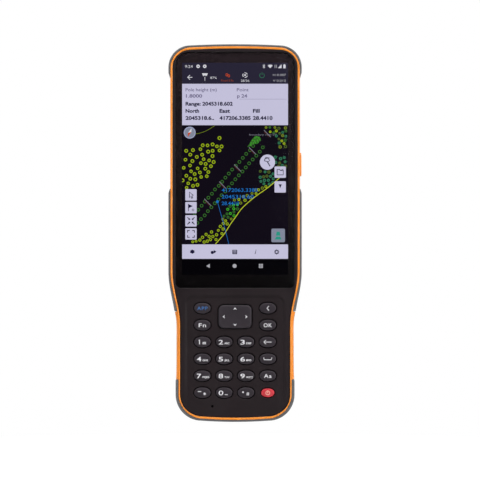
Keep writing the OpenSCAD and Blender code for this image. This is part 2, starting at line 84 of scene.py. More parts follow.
BAND_LOW, BAND_HIGH = box_mm("rim_band")
HEEL_HIGH = box_mm("bottom_bumper")[1]
CROWN_LOW, CROWN_HIGH = box_mm("top_bumper")
WAIST_LOW, WAIST_HIGH = box_mm("right_bumper")
GLASS_LOW, GLASS_HIGH = box_mm("cover_glass")
LCD_LOW, LCD_HIGH = box_mm("lcd_module")
DOOR_LOW, DOOR_HIGH = box_mm("battery_door")
BATTERY_LOW, BATTERY_HIGH = box_mm("battery_pack")

# Walls and seams, how far the band's front is wider than its wall, and how far the grip stands out.
BAND_WALL = 1.0
SHELL_WALL = 1.6
SEAM = 0.03
REVEAL = 0.12
BUMPER_T = CROWN_HIGH.z - BAND_HIGH.z
BUMPER_EXTRA = 0.5
SIDE_RIM = 0.3
END_RIM = 0.4
GRIP = 1.2

# The outline: half widths above and below the waist, half length, corner radii, and the waist's two ends.
HALF_TOP = BAND_HIGH.x
HALF_LOW = HEEL_HIGH.x - BUMPER_T - BUMPER_EXTRA
END = BAND_HIGH.z
CORNER_TOP = 11.8
CORNER_LOW = 14.2
ARCH = 0.7
WAIST = (-54.0, -23.0)

# The charge port's slot: its depth, and half its width and height.
PORT_Y = -1.8
PORT_HALF = (4.8, 1.95)

# Depths, from the front rim to the back.
Y_FRONT = BAND_LOW.y
Y_BACK = box_mm("rear_cover")[1].y
Y_SPLIT = BAND_HIGH.y
Y_LIP = Y_FRONT + 0.1
Y_FACE = Y_FRONT + 0.4
Y_FACE_IN = Y_FACE + 1.5
Y_LEDGE = GLASS_HIGH.y + 0.2
Y_SCREEN = GLASS_HIGH.y + 0.35

# Keys, the microphone hole and the direction pad.
KEY_PITCH = (12.84, 9.96)
KEY_TOP_Z = -44.3
KEY_SIZE = (9.8, 6.4)
POWER_SCALE = 0.8
KEY_OPEN = 0.45
WELL_REACH = 27.0
MIC_HOLE = (-13.4, -102.1)
MIC_R = 0.75
DPAD_CENTRE = -49.3
DPAD_SIZE = (19.5, 13.7)
DPAD_CORNER = 3.0

# The keypad face: where it starts, how deep it rolls away at the sides and the end, and its recess.
KEYPAD_TOP_Z = -34.6
SIDE_ROLL = 0.5
END_ROLL = 0.12
RECESS_DEPTH = 0.55
RECESS_HALF = 29.4
RECESS_Z = (-112.0, -36.9)
RECESS_CORNER = 5.0

# The housing's rounded front edge, the spacing of its grids of points, and the ledge under the glass.
FACE_FILLET = 0.45
FACE_GRID = 0.7
UNDER_GRID = 2.4
LEDGE_W = 1.6
LEDGE_T = 1.0


def smooth(t):
    """0 below 0, 1 above 1, and an even rise between."""
    t = min(1.0, max(0.0, t))
    return t * t * (3.0 - 2.0 * t)


# ---------------------------------------------------------------- outlines in X and Z

ARCH_STEPS = 6
CORNER_STEPS = 14
SIDE_STEPS = 76
EDGE_STEPS = (-1.3, -0.7, -0.31, -0.2, -0.1, 0.1, 0.2, 0.31, 0.7, 1.3)


def waist_x(z, top, low):
    """Half width of the body, which narrows at the waist."""
    return low + (top - low) * smooth((z - WAIST[0]) / (WAIST[1] - WAIST[0]))


def arc(cx, cz, r, start, end, steps):
    """Points along an arc, between two angles in degrees."""
    turn = [math.radians(start + (end - start) * i / steps) for i in range(steps + 1)]
    return [(cx + r * math.cos(a), cz + r * math.sin(a)) for a in turn]


def outline(inset=0.0, low_extra=0.0):
    """The body's closed outline, moved inwards. Every call gives as many points, in the same order."""
    top, low, end = HALF_TOP - inset, HALF_LOW - inset + low_extra, END - inset
    r_low, r_top = CORNER_LOW - inset, CORNER_TOP - inset
    z_low, z_top = -end + ARCH + r_low, end - ARCH - r_top
    half = [((low - r_low) * i / ARCH_STEPS, -end + ARCH * (i / ARCH_STEPS) ** 2) for i in range(ARCH_STEPS)]
    half += arc(low - r_low, z_low, r_low, -90, 0, CORNER_STEPS)
    sides = {z_low + (z_top - z_low) * i / SIDE_STEPS for i in range(1, SIDE_STEPS)}
    sides |= {z + step for z in (HEEL_HIGH.z, WAIST_LOW.z, WAIST_HIGH.z, CROWN_LOW.z) for step in EDGE_STEPS}
    half += [(waist_x(z, top, low), z) for z in sorted(sides)]
    half += arc(top - r_top, z_top, r_top, 0, 90, CORNER_STEPS)
    half += [((top - r_top) * i / ARCH_STEPS, end - ARCH * (i / ARCH_STEPS) ** 2)
             for i in range(ARCH_STEPS - 1, -1, -1)]
    return half + [(-x, z) for x, z in half[-2:0:-1]]


def between(a, b, t):
    """The loop that lies a share of the way from one loop to another."""
    return [(p[0] + (q[0] - p[0]) * t, p[1] + (q[1] - p[1]) * t) for p, q in zip(a, b)]


def grow(loop, amount):
    """The loop moved outwards along its normals. Loops run counter-clockwise."""
    out, n = [], len(loop)
    for i, (x, z) in enumerate(loop):
        (x0, z0), (x1, z1) = loop[i - 1], loop[(i + 1) % n]
        dx, dz = x1 - x0, z1 - z0
        size = math.hypot(dx, dz) or 1.0
        out.append((x + dz / size * amount, z - dx / size * amount))
    return out


def rounded(x0, x1, z0, z1, r_low, r_top=None, steps=8, side=3):
    """A rectangle with rounded corners, counter-clockwise."""
    r_top = r_low if r_top is None else r_top
    corners = [(x1 - r_low, z0 + r_low, r_low, -90), (x1 - r_top, z1 - r_top, r_top, 0),
               (x0 + r_top, z1 - r_top, r_top, 90), (x0 + r_low, z0 + r_low, r_low, 180)]
    loop = []
    for k, (cx, cz, r, start) in enumerate(corners):
        part = arc(cx, cz, r, start, start + 90, steps)
        nx, nz, nr, n_start = corners[(k + 1) % 4]
        a = math.radians(n_start)
        goal = (nx + nr * math.cos(a), nz + nr * math.sin(a))
        last = part[-1]
        part += [(last[0] + (goal[0] - last[0]) * i / side, last[1] + (goal[1] - last[1]) * i / side)
                 for i in range(1, side)]
        loop += part
    return loop


def round_box(low, high, gap, r_low, r_top=None, steps=8, side=6):
    """A rounded rectangle round a node's box, with a gap all round."""
    return rounded(low.x - gap, high.x + gap, low.z - gap, high.z + gap, r_low, r_top, steps, side)


def circle(cx, cz, r, steps):
    """A closed ring of points."""
    return arc(cx, cz, r, 0, 360, steps)[:-1]


OVAL_POWER = 2.15
OVAL_STEPS = 48


def oval(cx, cz, w, h, power=OVAL_POWER):
    """An oval with slightly full ends."""
    loop = []
    for i in range(OVAL_STEPS):
        a = 2 * math.pi * i / OVAL_STEPS
        c, s = math.cos(a), math.sin(a)
        loop.append((cx + w / 2 * math.copysign(abs(c) ** (2 / power), c),
                     cz + h / 2 * math.copysign(abs(s) ** (2 / power), s)))
    return loop


def scaled(loop, sx, sz=None):
    """The loop shrunk about its own middle."""
    sz = sx if sz is None else sz
    cx = sum(p[0] for p in loop) / len(loop)
    cz = sum(p[1] for p in loop) / len(loop)
    return [(cx + (x - cx) * sx, cz + (z - cz) * sz) for x, z in loop]


def lean_in(loop, share=1.0):
    """Moves the band's inner edge in where the band's front is wider: at the ends and beside the display."""
    out = []
    for x, z in loop:
        side = SIDE_RIM * smooth((z - WAIST[0]) / 30.0) * smooth((abs(x) - 26.0) / 10.0)
        end = END_RIM * smooth((abs(z) - END + 9.0) / 6.0)
        out.append((x - math.copysign(side * share, x), z - math.copysign(end * share, z)))
    return out


def inside(points, loop):
    """Which of the points lie inside the loop, as an array of bools."""
    hit = np.zeros(len(points), bool)
    x, z = points[:, 0], points[:, 1]
    n = len(loop)
    for i in range(n):
        (x1, z1), (x2, z2) = loop[i], loop[(i + 1) % n]
        if z1 == z2:
            continue
        crosses = (z1 > z) != (z2 > z)
        hit ^= crosses & (x < (x2 - x1) * (z - z1) / (z2 - z1) + x1)
    return hit


# ---------------------------------------------------------------- mesh building

class Skin:
    """A closed surface gathered from rings, bridges and filled faces, in millimetres."""

    def __init__(self, place=None):
        self.points, self.edge, self.faces = [], [], []
        self.place = place or (lambda x, y, z: (x, y, z))

    def ring(self, loop, y, edge=0.0):
        """Adds a loop's points at a depth, or at a function of the place. edge is how far they are rubbed
        lighter; on the band's ridge it places a painted highlight.
        """
        start = len(self.points)
        for x, z in loop:
            self.points.append((x, y(x, z) if callable(y) else y, z))
            self.edge.append(edge)
        return list(range(start, len(self.points)))

    def bridge(self, a, b):
        """Faces between two rings of the same length."""
        for i in range(len(a)):
            j = (i + 1) % len(a)
            self.faces.append((a[i], a[j], b[j], b[i]))

    def loft(self, rings):
        """Faces between each ring and the next."""
        for a, b in zip(rings, rings[1:]):
            self.bridge(a, b)

    def cap(self, ring):
        """Closes a ring with one flat face."""
        self.faces.append(tuple(ring))

    def closed(self, rings):
        """A loft through the rings, with a flat cap on each end."""
        self.loft(rings)
        self.cap(rings[0])
        self.cap(rings[-1])

    def fan(self, ring, y):
        """Closes a ring with triangles to its middle."""
        pts = [self.points[i] for i in ring]
        n = len(pts)
        self.points.append((sum(p[0] for p in pts) / n, y, sum(p[2] for p in pts) / n))
        self.edge.append(0.0)
        top = len(self.points) - 1
        for i in range(n):
            self.faces.append((ring[i], ring[(i + 1) % n], top))

    def fill(self, outer, holes=(), spacing=None, height=None):
        """Fills the region between an outer ring and its holes, with a grid of points where it isn't flat."""
        loops = [outer, *holes]
        ids = [i for loop in loops for i in loop]
        flat = [(self.points[i][0], self.points[i][2]) for i in ids]
        edges, start = [], 0
        for loop in loops:
            edges += [(start + i, start + (i + 1) % len(loop)) for i in range(len(loop))]
            start += len(loop)
        shapes = [[(self.points[i][0], self.points[i][2]) for i in loop] for loop in loops]
        if spacing:
            border = np.array(flat)
            (x0, z0), (x1, z1) = border.min(0), border.max(0)
            xs = np.linspace(x0, x1, max(2, int((x1 - x0) / spacing) + 1))
            zs = np.linspace(z0, z1, max(2, int((z1 - z0) / spacing) + 1))
            grid = np.array([(x, z) for x in xs for z in zs])
            keep = inside(grid, shapes[0])
            for hole in shapes[1:]:
                keep &= ~inside(grid, hole)
            grid = grid[keep]
            far = np.full(len(grid), np.inf)
            for p in border:
                far = np.minimum(far, np.hypot(grid[:, 0] - p[0], grid[:, 1] - p[1]))
            for x, z in grid[far > spacing * 0.45].tolist():
                self.points.append((x, height(x, z), z))
                self.edge.append(0.0)
                ids.append(len(self.points) - 1)
                flat.append((x, z))
        made = delaunay_2d_cdt([Vector(p) for p in flat], edges, [], 0, 1e-5)
        where, tris, source = made[0], made[2], made[3]
        centres = np.array([np.mean([where[i][:] for i in t], axis=0) for t in tris])
        keep = inside(centres, shapes[0])
        for hole in shapes[1:]:
            keep &= ~inside(centres, hole)
        for t, ok in zip(tris, keep):
            if ok and all(source[i] for i in t):
                self.faces.append(tuple(ids[source[i][0]] for i in t))

    def solid(self, name):
        """The surface as an object with even outward normals."""
        mesh = bpy.data.meshes.new(name)
        mesh.from_pydata([[c * MM for c in self.place(*p)] for p in self.points], [], self.faces)
        layer = mesh.attributes.new("edge", "FLOAT", "POINT")
        layer.data.foreach_set("value", self.edge)
        bm = bmesh.new()
        bm.from_mesh(mesh)
        bmesh.ops.remove_doubles(bm, verts=bm.verts, dist=1e-7)
        bmesh.ops.dissolve_degenerate(bm, edges=bm.edges, dist=1e-8)
        bmesh.ops.recalc_face_normals(bm, faces=bm.faces)
        bm.to_mesh(mesh)
        bm.free()
        obj = bpy.data.objects.new(name, mesh)
        bpy.context.scene.collection.objects.link(obj)
        return obj

    def build(self, name, mat, body="root", slot=None, nodes=(), sharp=38.0, openings=()):
        """The finished piece: cut, shaded, riding on its body and standing for its CAD nodes."""
        obj = self.solid(name)
        if openings:
            cut(obj, openings)
        mesh = obj.data
        mesh.materials.clear()
        mesh.materials.append(mat)
        mesh.shade_smooth()
        mesh.set_sharp_from_angle(angle=math.radians(sharp))
        mod = obj.modifiers.new("weighted", "WEIGHTED_NORMAL")
        mod.keep_sharp = True
        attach(obj, body)
        if nodes:
            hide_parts(*nodes)
        return obj


def cut(obj, openings):
    """Cuts closed shapes out of an object."""
    tools = [make() for make in openings]
    for tool in tools:
        mod = obj.modifiers.new("opening", "BOOLEAN")
        mod.object = tool
        mod.solver = "EXACT"
    scene_state = bpy.context.evaluated_depsgraph_get()
    whole = obj.data
    obj.data = bpy.data.meshes.new_from_object(obj.evaluated_get(scene_state))
    obj.data.name = whole.name
    obj.modifiers.clear()
    for tool in tools:
        bpy.data.objects.remove(tool)


def fillet(r, steps=3):
    """Steps of a quarter round, as pairs: the first value falls from r to 0, the second rises from 0 to r."""
    turn = [math.pi / 2 * i / steps for i in range(steps + 1)]
    return [(r * (1 - math.sin(a)), r * (1 - math.cos(a))) for a in turn]


def slab_skin(skin, loop, y0, y1, r):
    """A plate of one outline between two depths, with rounded edges. Gives its front and back rings."""
    rings = [skin.ring(grow(loop, -inset), y0 + drop, 1.0) for inset, drop in fillet(r)]
    rings += [skin.ring(grow(loop, -inset), y1 - drop, 1.0) for inset, drop in reversed(fillet(r))]
    skin.loft(rings)
    return rings[0], rings[-1]


def pocket(skin, loop, y_top, y_floor, r=0.2, direction=1.0):
    """Walls of an opening that starts with a rounded edge. Gives the rim ring and the ring at its floor."""
    height = y_top if callable(y_top) else lambda x, z: y_top
    rings = []
    for out, drop in fillet(r):
        rings.append(skin.ring(grow(loop, out), lambda x, z, d=drop: height(x, z) + d * direction, 1.0))
    rings.append(skin.ring(loop, y_floor))
    skin.loft(rings)
    return rings[0], rings[-1]


# ---------------------------------------------------------------- materials

def srgb(r, g, b):
    """A colour given in 0 to 255 display values."""
    def linear(v):
        v /= 255.0
        return v / 12.92 if v <= 0.04045 else ((v + 0.055) / 1.055) ** 2.4
    return (linear(r), linear(g), linear(b), 1.0)


def shade(colour, factor):
    """The colour made lighter or darker."""
    return tuple(min(1.0, c * factor) for c in colour[:3]) + (1.0,)


class Nodes:
    """Short names for building the node tree of a material, or of another owner of nodes."""

    def __init__(self, name, owner=None):
        self.mat = owner or bpy.data.materials.new(name)
        self.mat.use_nodes = True
        self.tree = self.mat.node_tree
        self.shader = self.tree.nodes.get("Principled BSDF")
        self.coord = self.node("ShaderNodeTexCoord").outputs
        self.place = self.coord["Object"]

    def node(self, kind, inputs=None, **settings):
        """A new node with its inputs and settings filled in."""
        made = self.tree.nodes.new(kind)
        for key, value in settings.items():
            setattr(made, key, value)
        for key, value in (inputs or {}).items():
            self.put(made.inputs[key], value)
        return made

    def put(self, socket, value):
        """Links an output to a socket, or sets the socket's own value."""
        if isinstance(value, bpy.types.NodeSocket):
            self.tree.links.new(value, socket)
        else:
            socket.default_value = value

    def surface(self, values):
        """Sets inputs of the main shader, and gives the material."""
        for key, value in values.items():
            self.put(self.shader.inputs[key], value)
        return self.mat

    def show(self, kind, *shaders):
        """Connects a mix of two shaders to the output: (factor, first, second)."""
        mixed = self.node("ShaderNodeMixShader", dict(enumerate(shaders))).outputs[0]
        self.put(self.tree.nodes[kind + " Output"].inputs["Surface"], mixed)

    def noise(self, scale, detail=3.0, stretch=None):
        """A 0 to 1 noise, stretched along the axes if asked."""
        where = self.place
        if stretch:
            where = self.node("ShaderNodeMapping", {"Vector": where, "Scale": stretch}).outputs["Vector"]
        inputs = {"Vector": where, "Scale": scale, "Detail": detail}
        return self.node("ShaderNodeTexNoise", inputs).outputs["Fac"]

    def span(self, value, low, high):
        """Maps the middle of a 0 to 1 noise, from 0.3 to 0.7, onto low to high."""
        return self.node("ShaderNodeMapRange", {"Value": value, "From Min": 0.3, "From Max": 0.7,
                                                "To Min": low, "To Max": high}).outputs["Result"]

    def rise(self, value, low, high):
        """A smooth step from 0 to 1, between two values."""
        return self.node("ShaderNodeMapRange", {"Value": value, "From Min": low, "From Max": high},
                         interpolation_type="SMOOTHSTEP").outputs["Result"]

    def mix(self, factor, a, b):
        """A blend of two colours."""
        made = self.node("ShaderNodeMix", data_type="RGBA")
        self.put(made.inputs[0], factor)
        self.put(made.inputs[6], a)
        self.put(made.inputs[7], b)
        return made.outputs[2]

    def math(self, kind, a, b):
        made = self.node("ShaderNodeMath", operation=kind)
        self.put(made.inputs[0], a)
        self.put(made.inputs[1], b)
        return made.outputs[0]

    def bump(self, height, strength, distance, under=None):
        """A bumped normal, laid over another one if given."""
        inputs = {"Height": height, "Strength": strength, "Distance": distance}
        if under is not None:
            inputs["Normal"] = under
        return self.node("ShaderNodeBump", inputs).outputs["Normal"]


def moulded(name, colour, rough=0.5, grain=2600.0, depth=0.00002, vary=0.10, wear_and_highlight=0.25, sheen=0.0, scuff=0.06,
            specular=0.5, coat=0.0, painted_shade_heights=None):
    """Moulded plastic or rubber: pebbled grain, uneven tone and gloss, and marked points made lighter: rubbed
    edges, and a painted highlight along the orange band's ridge.

    The painted shade heights, if given, are two heights in millimetres between which the colour fades up from
    near black: painted shade that darkens the lower part.
    """
    n = Nodes(name)
    tone = n.span(n.noise(38.0, 4.0), 0.0, 1.0)
    base = n.mix(tone, shade(colour, 1 - vary), shade(colour, 1 + vary))
    fine = n.span(n.noise(900.0, 2.0), 0.0, 1.0)
    base = n.mix(n.math("MULTIPLY", fine, 0.25), base, shade(colour, 1 + 1.6 * vary))
    # Painted shade: the colour rises from near black at the lower height to its full value at the upper one.
    if painted_shade_heights:
        height = n.node("ShaderNodeSeparateXYZ", {0: n.place}).outputs["Z"]
        low, high = (level * MM for level in painted_shade_heights)
        rise = n.node("ShaderNodeMapRange", {"Value": height, "From Min": low, "From Max": high})
        base = n.mix(rise.outputs["Result"], shade(colour, 0.1), base)
    # Points marked with the edge value turn lighter: wear on rubbed edges, and a painted highlight along the
    # band's ridge.
    edge = n.node("ShaderNodeAttribute", attribute_name="edge").outputs["Fac"]
    rub = n.math("MULTIPLY", edge, n.span(n.noise(220.0, 5.0), 0.0, wear_and_highlight))
    worn_and_lit = tuple(min(1.0, c * 1.5 + 0.035) for c in colour[:3]) + (1.0,)
    base = n.mix(rub, base, worn_and_lit)
    smear = n.noise(90.0, 5.0, (1.0, 1.0, 0.35))
    roughness = n.span(smear, max(0.02, rough - scuff), min(1.0, rough + scuff))
    height = n.node("ShaderNodeTexVoronoi", {"Vector": n.place, "Scale": grain}).outputs["Distance"]
    normal = n.bump(height, 0.55, depth)
    normal = n.bump(n.noise(140.0, 2.0), 0.25, depth * 2.0, normal)
    return n.surface({"Base Color": base, "Roughness": roughness, "Normal": normal, "Coat Weight": coat,
                      "Specular IOR Level": specular, "Sheen Weight": sheen})


def metal(name, colour, rough, brush=(1.0, 1.0, 12.0)):
    """Machined or rolled metal: brushed bump, uneven polish and faint staining."""
    n = Nodes(name)
    lines = n.noise(900.0, 3.0, brush)
    tone = n.span(n.noise(60.0, 4.0), 0.0, 1.0)
    return n.surface({"Base Color": n.mix(tone, shade(colour, 0.88), shade(colour, 1.12)), "Metallic": 1.0,
                      "Roughness": n.span(lines, rough - 0.08, rough + 0.12),
                      "Normal": n.bump(lines, 0.3, 0.00001)})


def polished_glass(name):
    """Clear cover glass: its outer faces reflect more at grazing angles, and carry faint wiping marks."""
    n = Nodes(name)
    smear = n.noise(30.0, 4.0, (1.0, 1.0, 0.3))
    edge = n.node("ShaderNodeAttribute", attribute_name="edge").outputs["Fac"]
    rough = n.math("ADD", n.span(smear, 0.02, 0.07), n.math("MULTIPLY", edge, 0.35))
    n.surface({"Base Color": (0.92, 0.94, 1.0, 1.0), "Metallic": 1.0, "Roughness": rough})
    outside = n.math("SUBTRACT", 1.0, n.node("ShaderNodeNewGeometry").outputs["Backfacing"])
    mirror = n.math("MULTIPLY", n.node("ShaderNodeFresnel", {"IOR": 1.33}).outputs[0], outside)
    mirror = n.math("MULTIPLY", mirror, n.math("SUBTRACT", 1.0, n.math("MULTIPLY", edge, 0.97)))
    clear = n.node("ShaderNodeBsdfTransparent", {"Color": (0.985, 0.985, 0.99, 1.0)})
    n.show("Material", mirror, clear.outputs[0], n.shader.outputs[0])
    return n.mat


def grille(name):
    """Woven steel mesh with dark gaps."""
    n = Nodes(name)
    weave = n.node("ShaderNodeTexVoronoi", {"Vector": n.place, "Scale": 2200.0}).outputs["Distance"]
    gaps = n.node("ShaderNodeMapRange", {"Value": weave, "From Min": 0.3, "From Max": 0.42}).outputs["Result"]
    return n.surface({"Base Color": n.mix(gaps, srgb(4, 4, 5), srgb(66, 67, 70)), "Metallic": gaps,
                      "Roughness": n.span(n.noise(300.0), 0.35, 0.5), "Normal": n.bump(weave, 0.6, 0.0001)})


def board(name):
    """Green solder mask over faint copper tracks."""
    n = Nodes(name)
    grid = n.node("ShaderNodeTexBrick", {"Vector": n.place, "Scale": 260.0, "Mortar Size": 0.06,
                                         "Color1": srgb(18, 74, 46), "Color2": srgb(22, 84, 52),
                                         "Mortar": srgb(40, 118, 74)}).outputs["Color"]
    cloud = n.span(n.noise(120.0, 4.0), 0.0, 0.5)
    return n.surface({"Base Color": n.mix(cloud, grid, srgb(14, 60, 38)),
                      "Roughness": n.span(n.noise(400.0, 2.0), 0.3, 0.5),
                      "Normal": n.bump(n.noise(500.0, 4.0), 0.4, 0.00003)})


def glow(name, colour):
    """A lit patch of the display: emission with a fine pixel grid and slightly uneven backlight."""
    n = Nodes(name)
    uneven = n.span(n.noise(22.0, 2.0), 0.985, 1.015)
    cells = n.node("ShaderNodeTexChecker", {"Vector": n.place, "Scale": 11800.0}).outputs["Fac"]
    level = n.math("MULTIPLY", uneven, n.span(cells, 0.985, 1.0))
    return n.surface({"Base Color": (0.0, 0.0, 0.0, 1.0), "Roughness": 0.5, "Specular IOR Level": 0.0,
                      "Emission Color": colour, "Emission Strength": level})


MAT = {
    "housing": moulded("housing_plastic", srgb(33, 25, 28), rough=0.43, vary=0.10, wear_and_highlight=0.10, specular=0.3),
    "rear": moulded("rear_plastic", srgb(42, 39, 41), rough=0.6, grain=1500.0, depth=0.00005, wear_and_highlight=0.3),
    # High wear on the orange paints a highlight along the band's ridge, as well as lighter rubbed edges.
    "orange": moulded("orange_plastic", srgb(217, 125, 22), rough=0.32, vary=0.05, wear_and_highlight=0.7, grain=3200.0,
                      depth=0.00001, coat=0.15),
    "bumper": moulded("bumper_rubber", srgb(80, 81, 83), rough=0.72, grain=1700.0, depth=0.00005,
                      vary=0.07, wear_and_highlight=0.35, sheen=0.15),
    "seal": moulded("seal_rubber", srgb(24, 24, 25), rough=0.7, grain=2000.0),
    "flap": moulded("flap_rubber", srgb(74, 76, 78), rough=0.75, grain=1700.0, depth=0.00004, wear_and_highlight=0.3),
    "key": moulded("key_plastic", srgb(45, 39, 45), rough=0.45, grain=3000.0, vary=0.06, wear_and_highlight=0.16,
                   specular=0.3),
    "power": moulded("power_key_plastic", srgb(186, 40, 52), rough=0.45, grain=3000.0, vary=0.05, wear_and_highlight=0.2),
    "legend": moulded("legend_print", srgb(205, 204, 208), rough=0.6, grain=4000.0, vary=0.04, wear_and_highlight=0.0),
    "legend_blue": moulded("legend_blue_print", srgb(44, 92, 150), rough=0.6, grain=4000.0, vary=0.05,
                           wear_and_highlight=0.0),
    "legend_red": moulded("legend_red_print", srgb(222, 178, 160), rough=0.6, grain=4000.0, vary=0.04,
                          wear_and_highlight=0.0),
    "black": moulded("black_plastic", srgb(26, 26, 28), rough=0.45, grain=2400.0),
    "battery": moulded("battery_case", srgb(52, 54, 60), rough=0.55, grain=1800.0, wear_and_highlight=0.25),
    # Near-black painted shade for the walls of the key openings, the key flanges under the caps, and the
    # microphone behind its hole.
    "painted_shade": moulded("shaded_well", srgb(7, 6, 7), rough=0.8, grain=2400.0, wear_and_highlight=0.0, specular=0.05),
    "mat": moulded("silicone_mat", srgb(30, 31, 34), rough=0.65, grain=1400.0, sheen=0.2),
    "ceramic": moulded("patch_ceramic", srgb(206, 196, 168), rough=0.35, grain=1800.0, vary=0.08),
    "film": moulded("dome_film", srgb(190, 193, 198), rough=0.25, grain=2600.0, vary=0.06, coat=0.3),
    "tape": moulded("adhesive_tape", srgb(22, 22, 22), rough=0.8, grain=2600.0),
    "panel": moulded("display_cell", srgb(20, 20, 24), rough=0.4, grain=4200.0, vary=0.05, specular=0.2),
    # The printed border is painted darker towards the lower end of the display: painted shade.
    "border": moulded("printed_border", srgb(36, 28, 31), rough=0.5, grain=4200.0, depth=0.000004,
                      vary=0.05, specular=0.05, painted_shade_heights=(-30.0, 100.0)),
    "lens": moulded("lens_window", srgb(6, 6, 10), rough=0.1, grain=4200.0, depth=0.000002, specular=0.3,
                    scuff=0.03),
    "lamp": moulded("lamp_phosphor", srgb(236, 226, 170), rough=0.3, grain=1200.0, coat=0.5),
    "steel": metal("machined_steel", srgb(186, 188, 190), 0.32),
    "tin": metal("tin_plate", srgb(196, 198, 200), 0.35, (1.0, 1.0, 6.0)),
    "magnesium": metal("cast_magnesium", srgb(160, 163, 166), 0.5, (1.0, 1.0, 1.0)),
    "black_steel": metal("black_oxide", srgb(70, 70, 74), 0.42, (1.0, 1.0, 1.0)),
    "brass": metal("machined_brass", srgb(205, 168, 92), 0.3, (1.0, 8.0, 1.0)),
    "board": board("circuit_board"),
    "glass": polished_glass("clear_glass"),
    "grille": grille("speaker_mesh"),
}


# ---------------------------------------------------------------- shells

def islands(node):
    """Boxes of a node's separate solids, in millimetres."""
    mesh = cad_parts[node].data
    places, spot = {}, []
    for v in mesh.vertices:
        spot.append(places.setdefault(tuple(round(c / MM, 2) for c in v.co), len(places)))
    owner = list(range(len(places)))

    def root_of(i):
        while owner[i] != i:
            owner[i] = owner[owner[i]]
            i = owner[i]
        return i

    for poly in mesh.polygons:
        first = root_of(spot[poly.vertices[0]])
        for v in poly.vertices[1:]:
            owner[root_of(spot[v])] = first
    groups = {}
    for place, i in places.items():
        groups.setdefault(root_of(i), []).append(place)
    boxes = [(Vector(map(min, zip(*pts))), Vector(map(max, zip(*pts)))) for pts in groups.values()]
    return sorted(boxes, key=lambda b: (round(b[0].z, 1), round(b[0].x, 1)))


def centres(node):
    """Where a node's separate solids stand, in X and Z."""
    return [((low.x + high.x) / 2, (low.z + high.z) / 2) for low, high in islands(node)]


DOOR_SCREWS = ("door_screw_top", "door_screw_bottom")
FINGER_RIDGES = 4
DOOR_GAP = 0.3
DOOR_CORNER = 3.0
BAY_GAP = 0.4
SCREWS = centres("housing_screws")
INSERTS = centres("strap_inserts")
SCREW_SEAT = box_mm("housing_screws")[1].y - 1.3
OUTER_BUMPER = outline(-BUMPER_T, BUMPER_EXTRA)


def window_loop(out=0.0):
    """Outline of the cover glass: large corners at the top, small ones below."""
    return round_box(GLASS_LOW, GLASS_HIGH, out, 3.0 + out, 8.0 + out, steps=12, side=24)


def rounded_gap(x, z, half_w, z0, z1, r):
    """Signed distance to a rounded rectangle on the centreline, negative inside."""
    mid, half_h = (z0 + z1) / 2, (z1 - z0) / 2
    dx, dz = abs(x) - half_w + r, abs(z - mid) - half_h + r
    return math.hypot(max(dx, 0), max(dz, 0)) + min(max(dx, dz), 0) - r


def face_y(x, z):
    """Depth of the housing's front face: it rolls away at the sides, and is recessed round the keys."""
    keypad_end = 1.0 - smooth((z - KEYPAD_TOP_Z) / 3.0)
    roll = SIDE_ROLL * smooth((abs(x) - 24.5) / 9.5) + END_ROLL * smooth((-z - 96.0) / 10.0)
    into_recess = -rounded_gap(x, z, RECESS_HALF, *RECESS_Z, RECESS_CORNER)
    recess = RECESS_DEPTH * smooth(into_recess) * smooth((z + 108.0) / 24.0)
    return Y_LIP + keypad_end * (roll + recess)


def key_place(column, row):
    """Centre of a key, in X and Z."""
    return (column - 1.5) * KEY_PITCH[0], KEY_TOP_Z - row * KEY_PITCH[1]


def key_scale(name):
    """The power key is smaller than the others."""
    return POWER_SCALE if name == "key_power" else 1.0


KEY_GRID = {
    "key_app": (0, 0), "key_back": (3, 0), "key_fn": (0, 1), "key_ok": (3, 1),
    "key_1": (0, 2), "key_2": (1, 2), "key_3": (2, 2), "key_delete": (3, 2),
    "key_4": (0, 3), "key_5": (1, 3), "key_6": (2, 3), "key_space": (3, 3),
    "key_7": (0, 4), "key_8": (1, 4), "key_9": (2, 4), "key_shift": (3, 4),
    "key_star": (0, 5), "key_0": (1, 5), "key_hash": (2, 5), "key_power": (3, 5),
}


def dpad_loop(out=0.0):
    """Outline of the direction pad."""
    w, h = DPAD_SIZE[0] / 2 + out, DPAD_SIZE[1] / 2 + out
    return rounded(-w, w, DPAD_CENTRE - h, DPAD_CENTRE + h, DPAD_CORNER + out, steps=8, side=8)


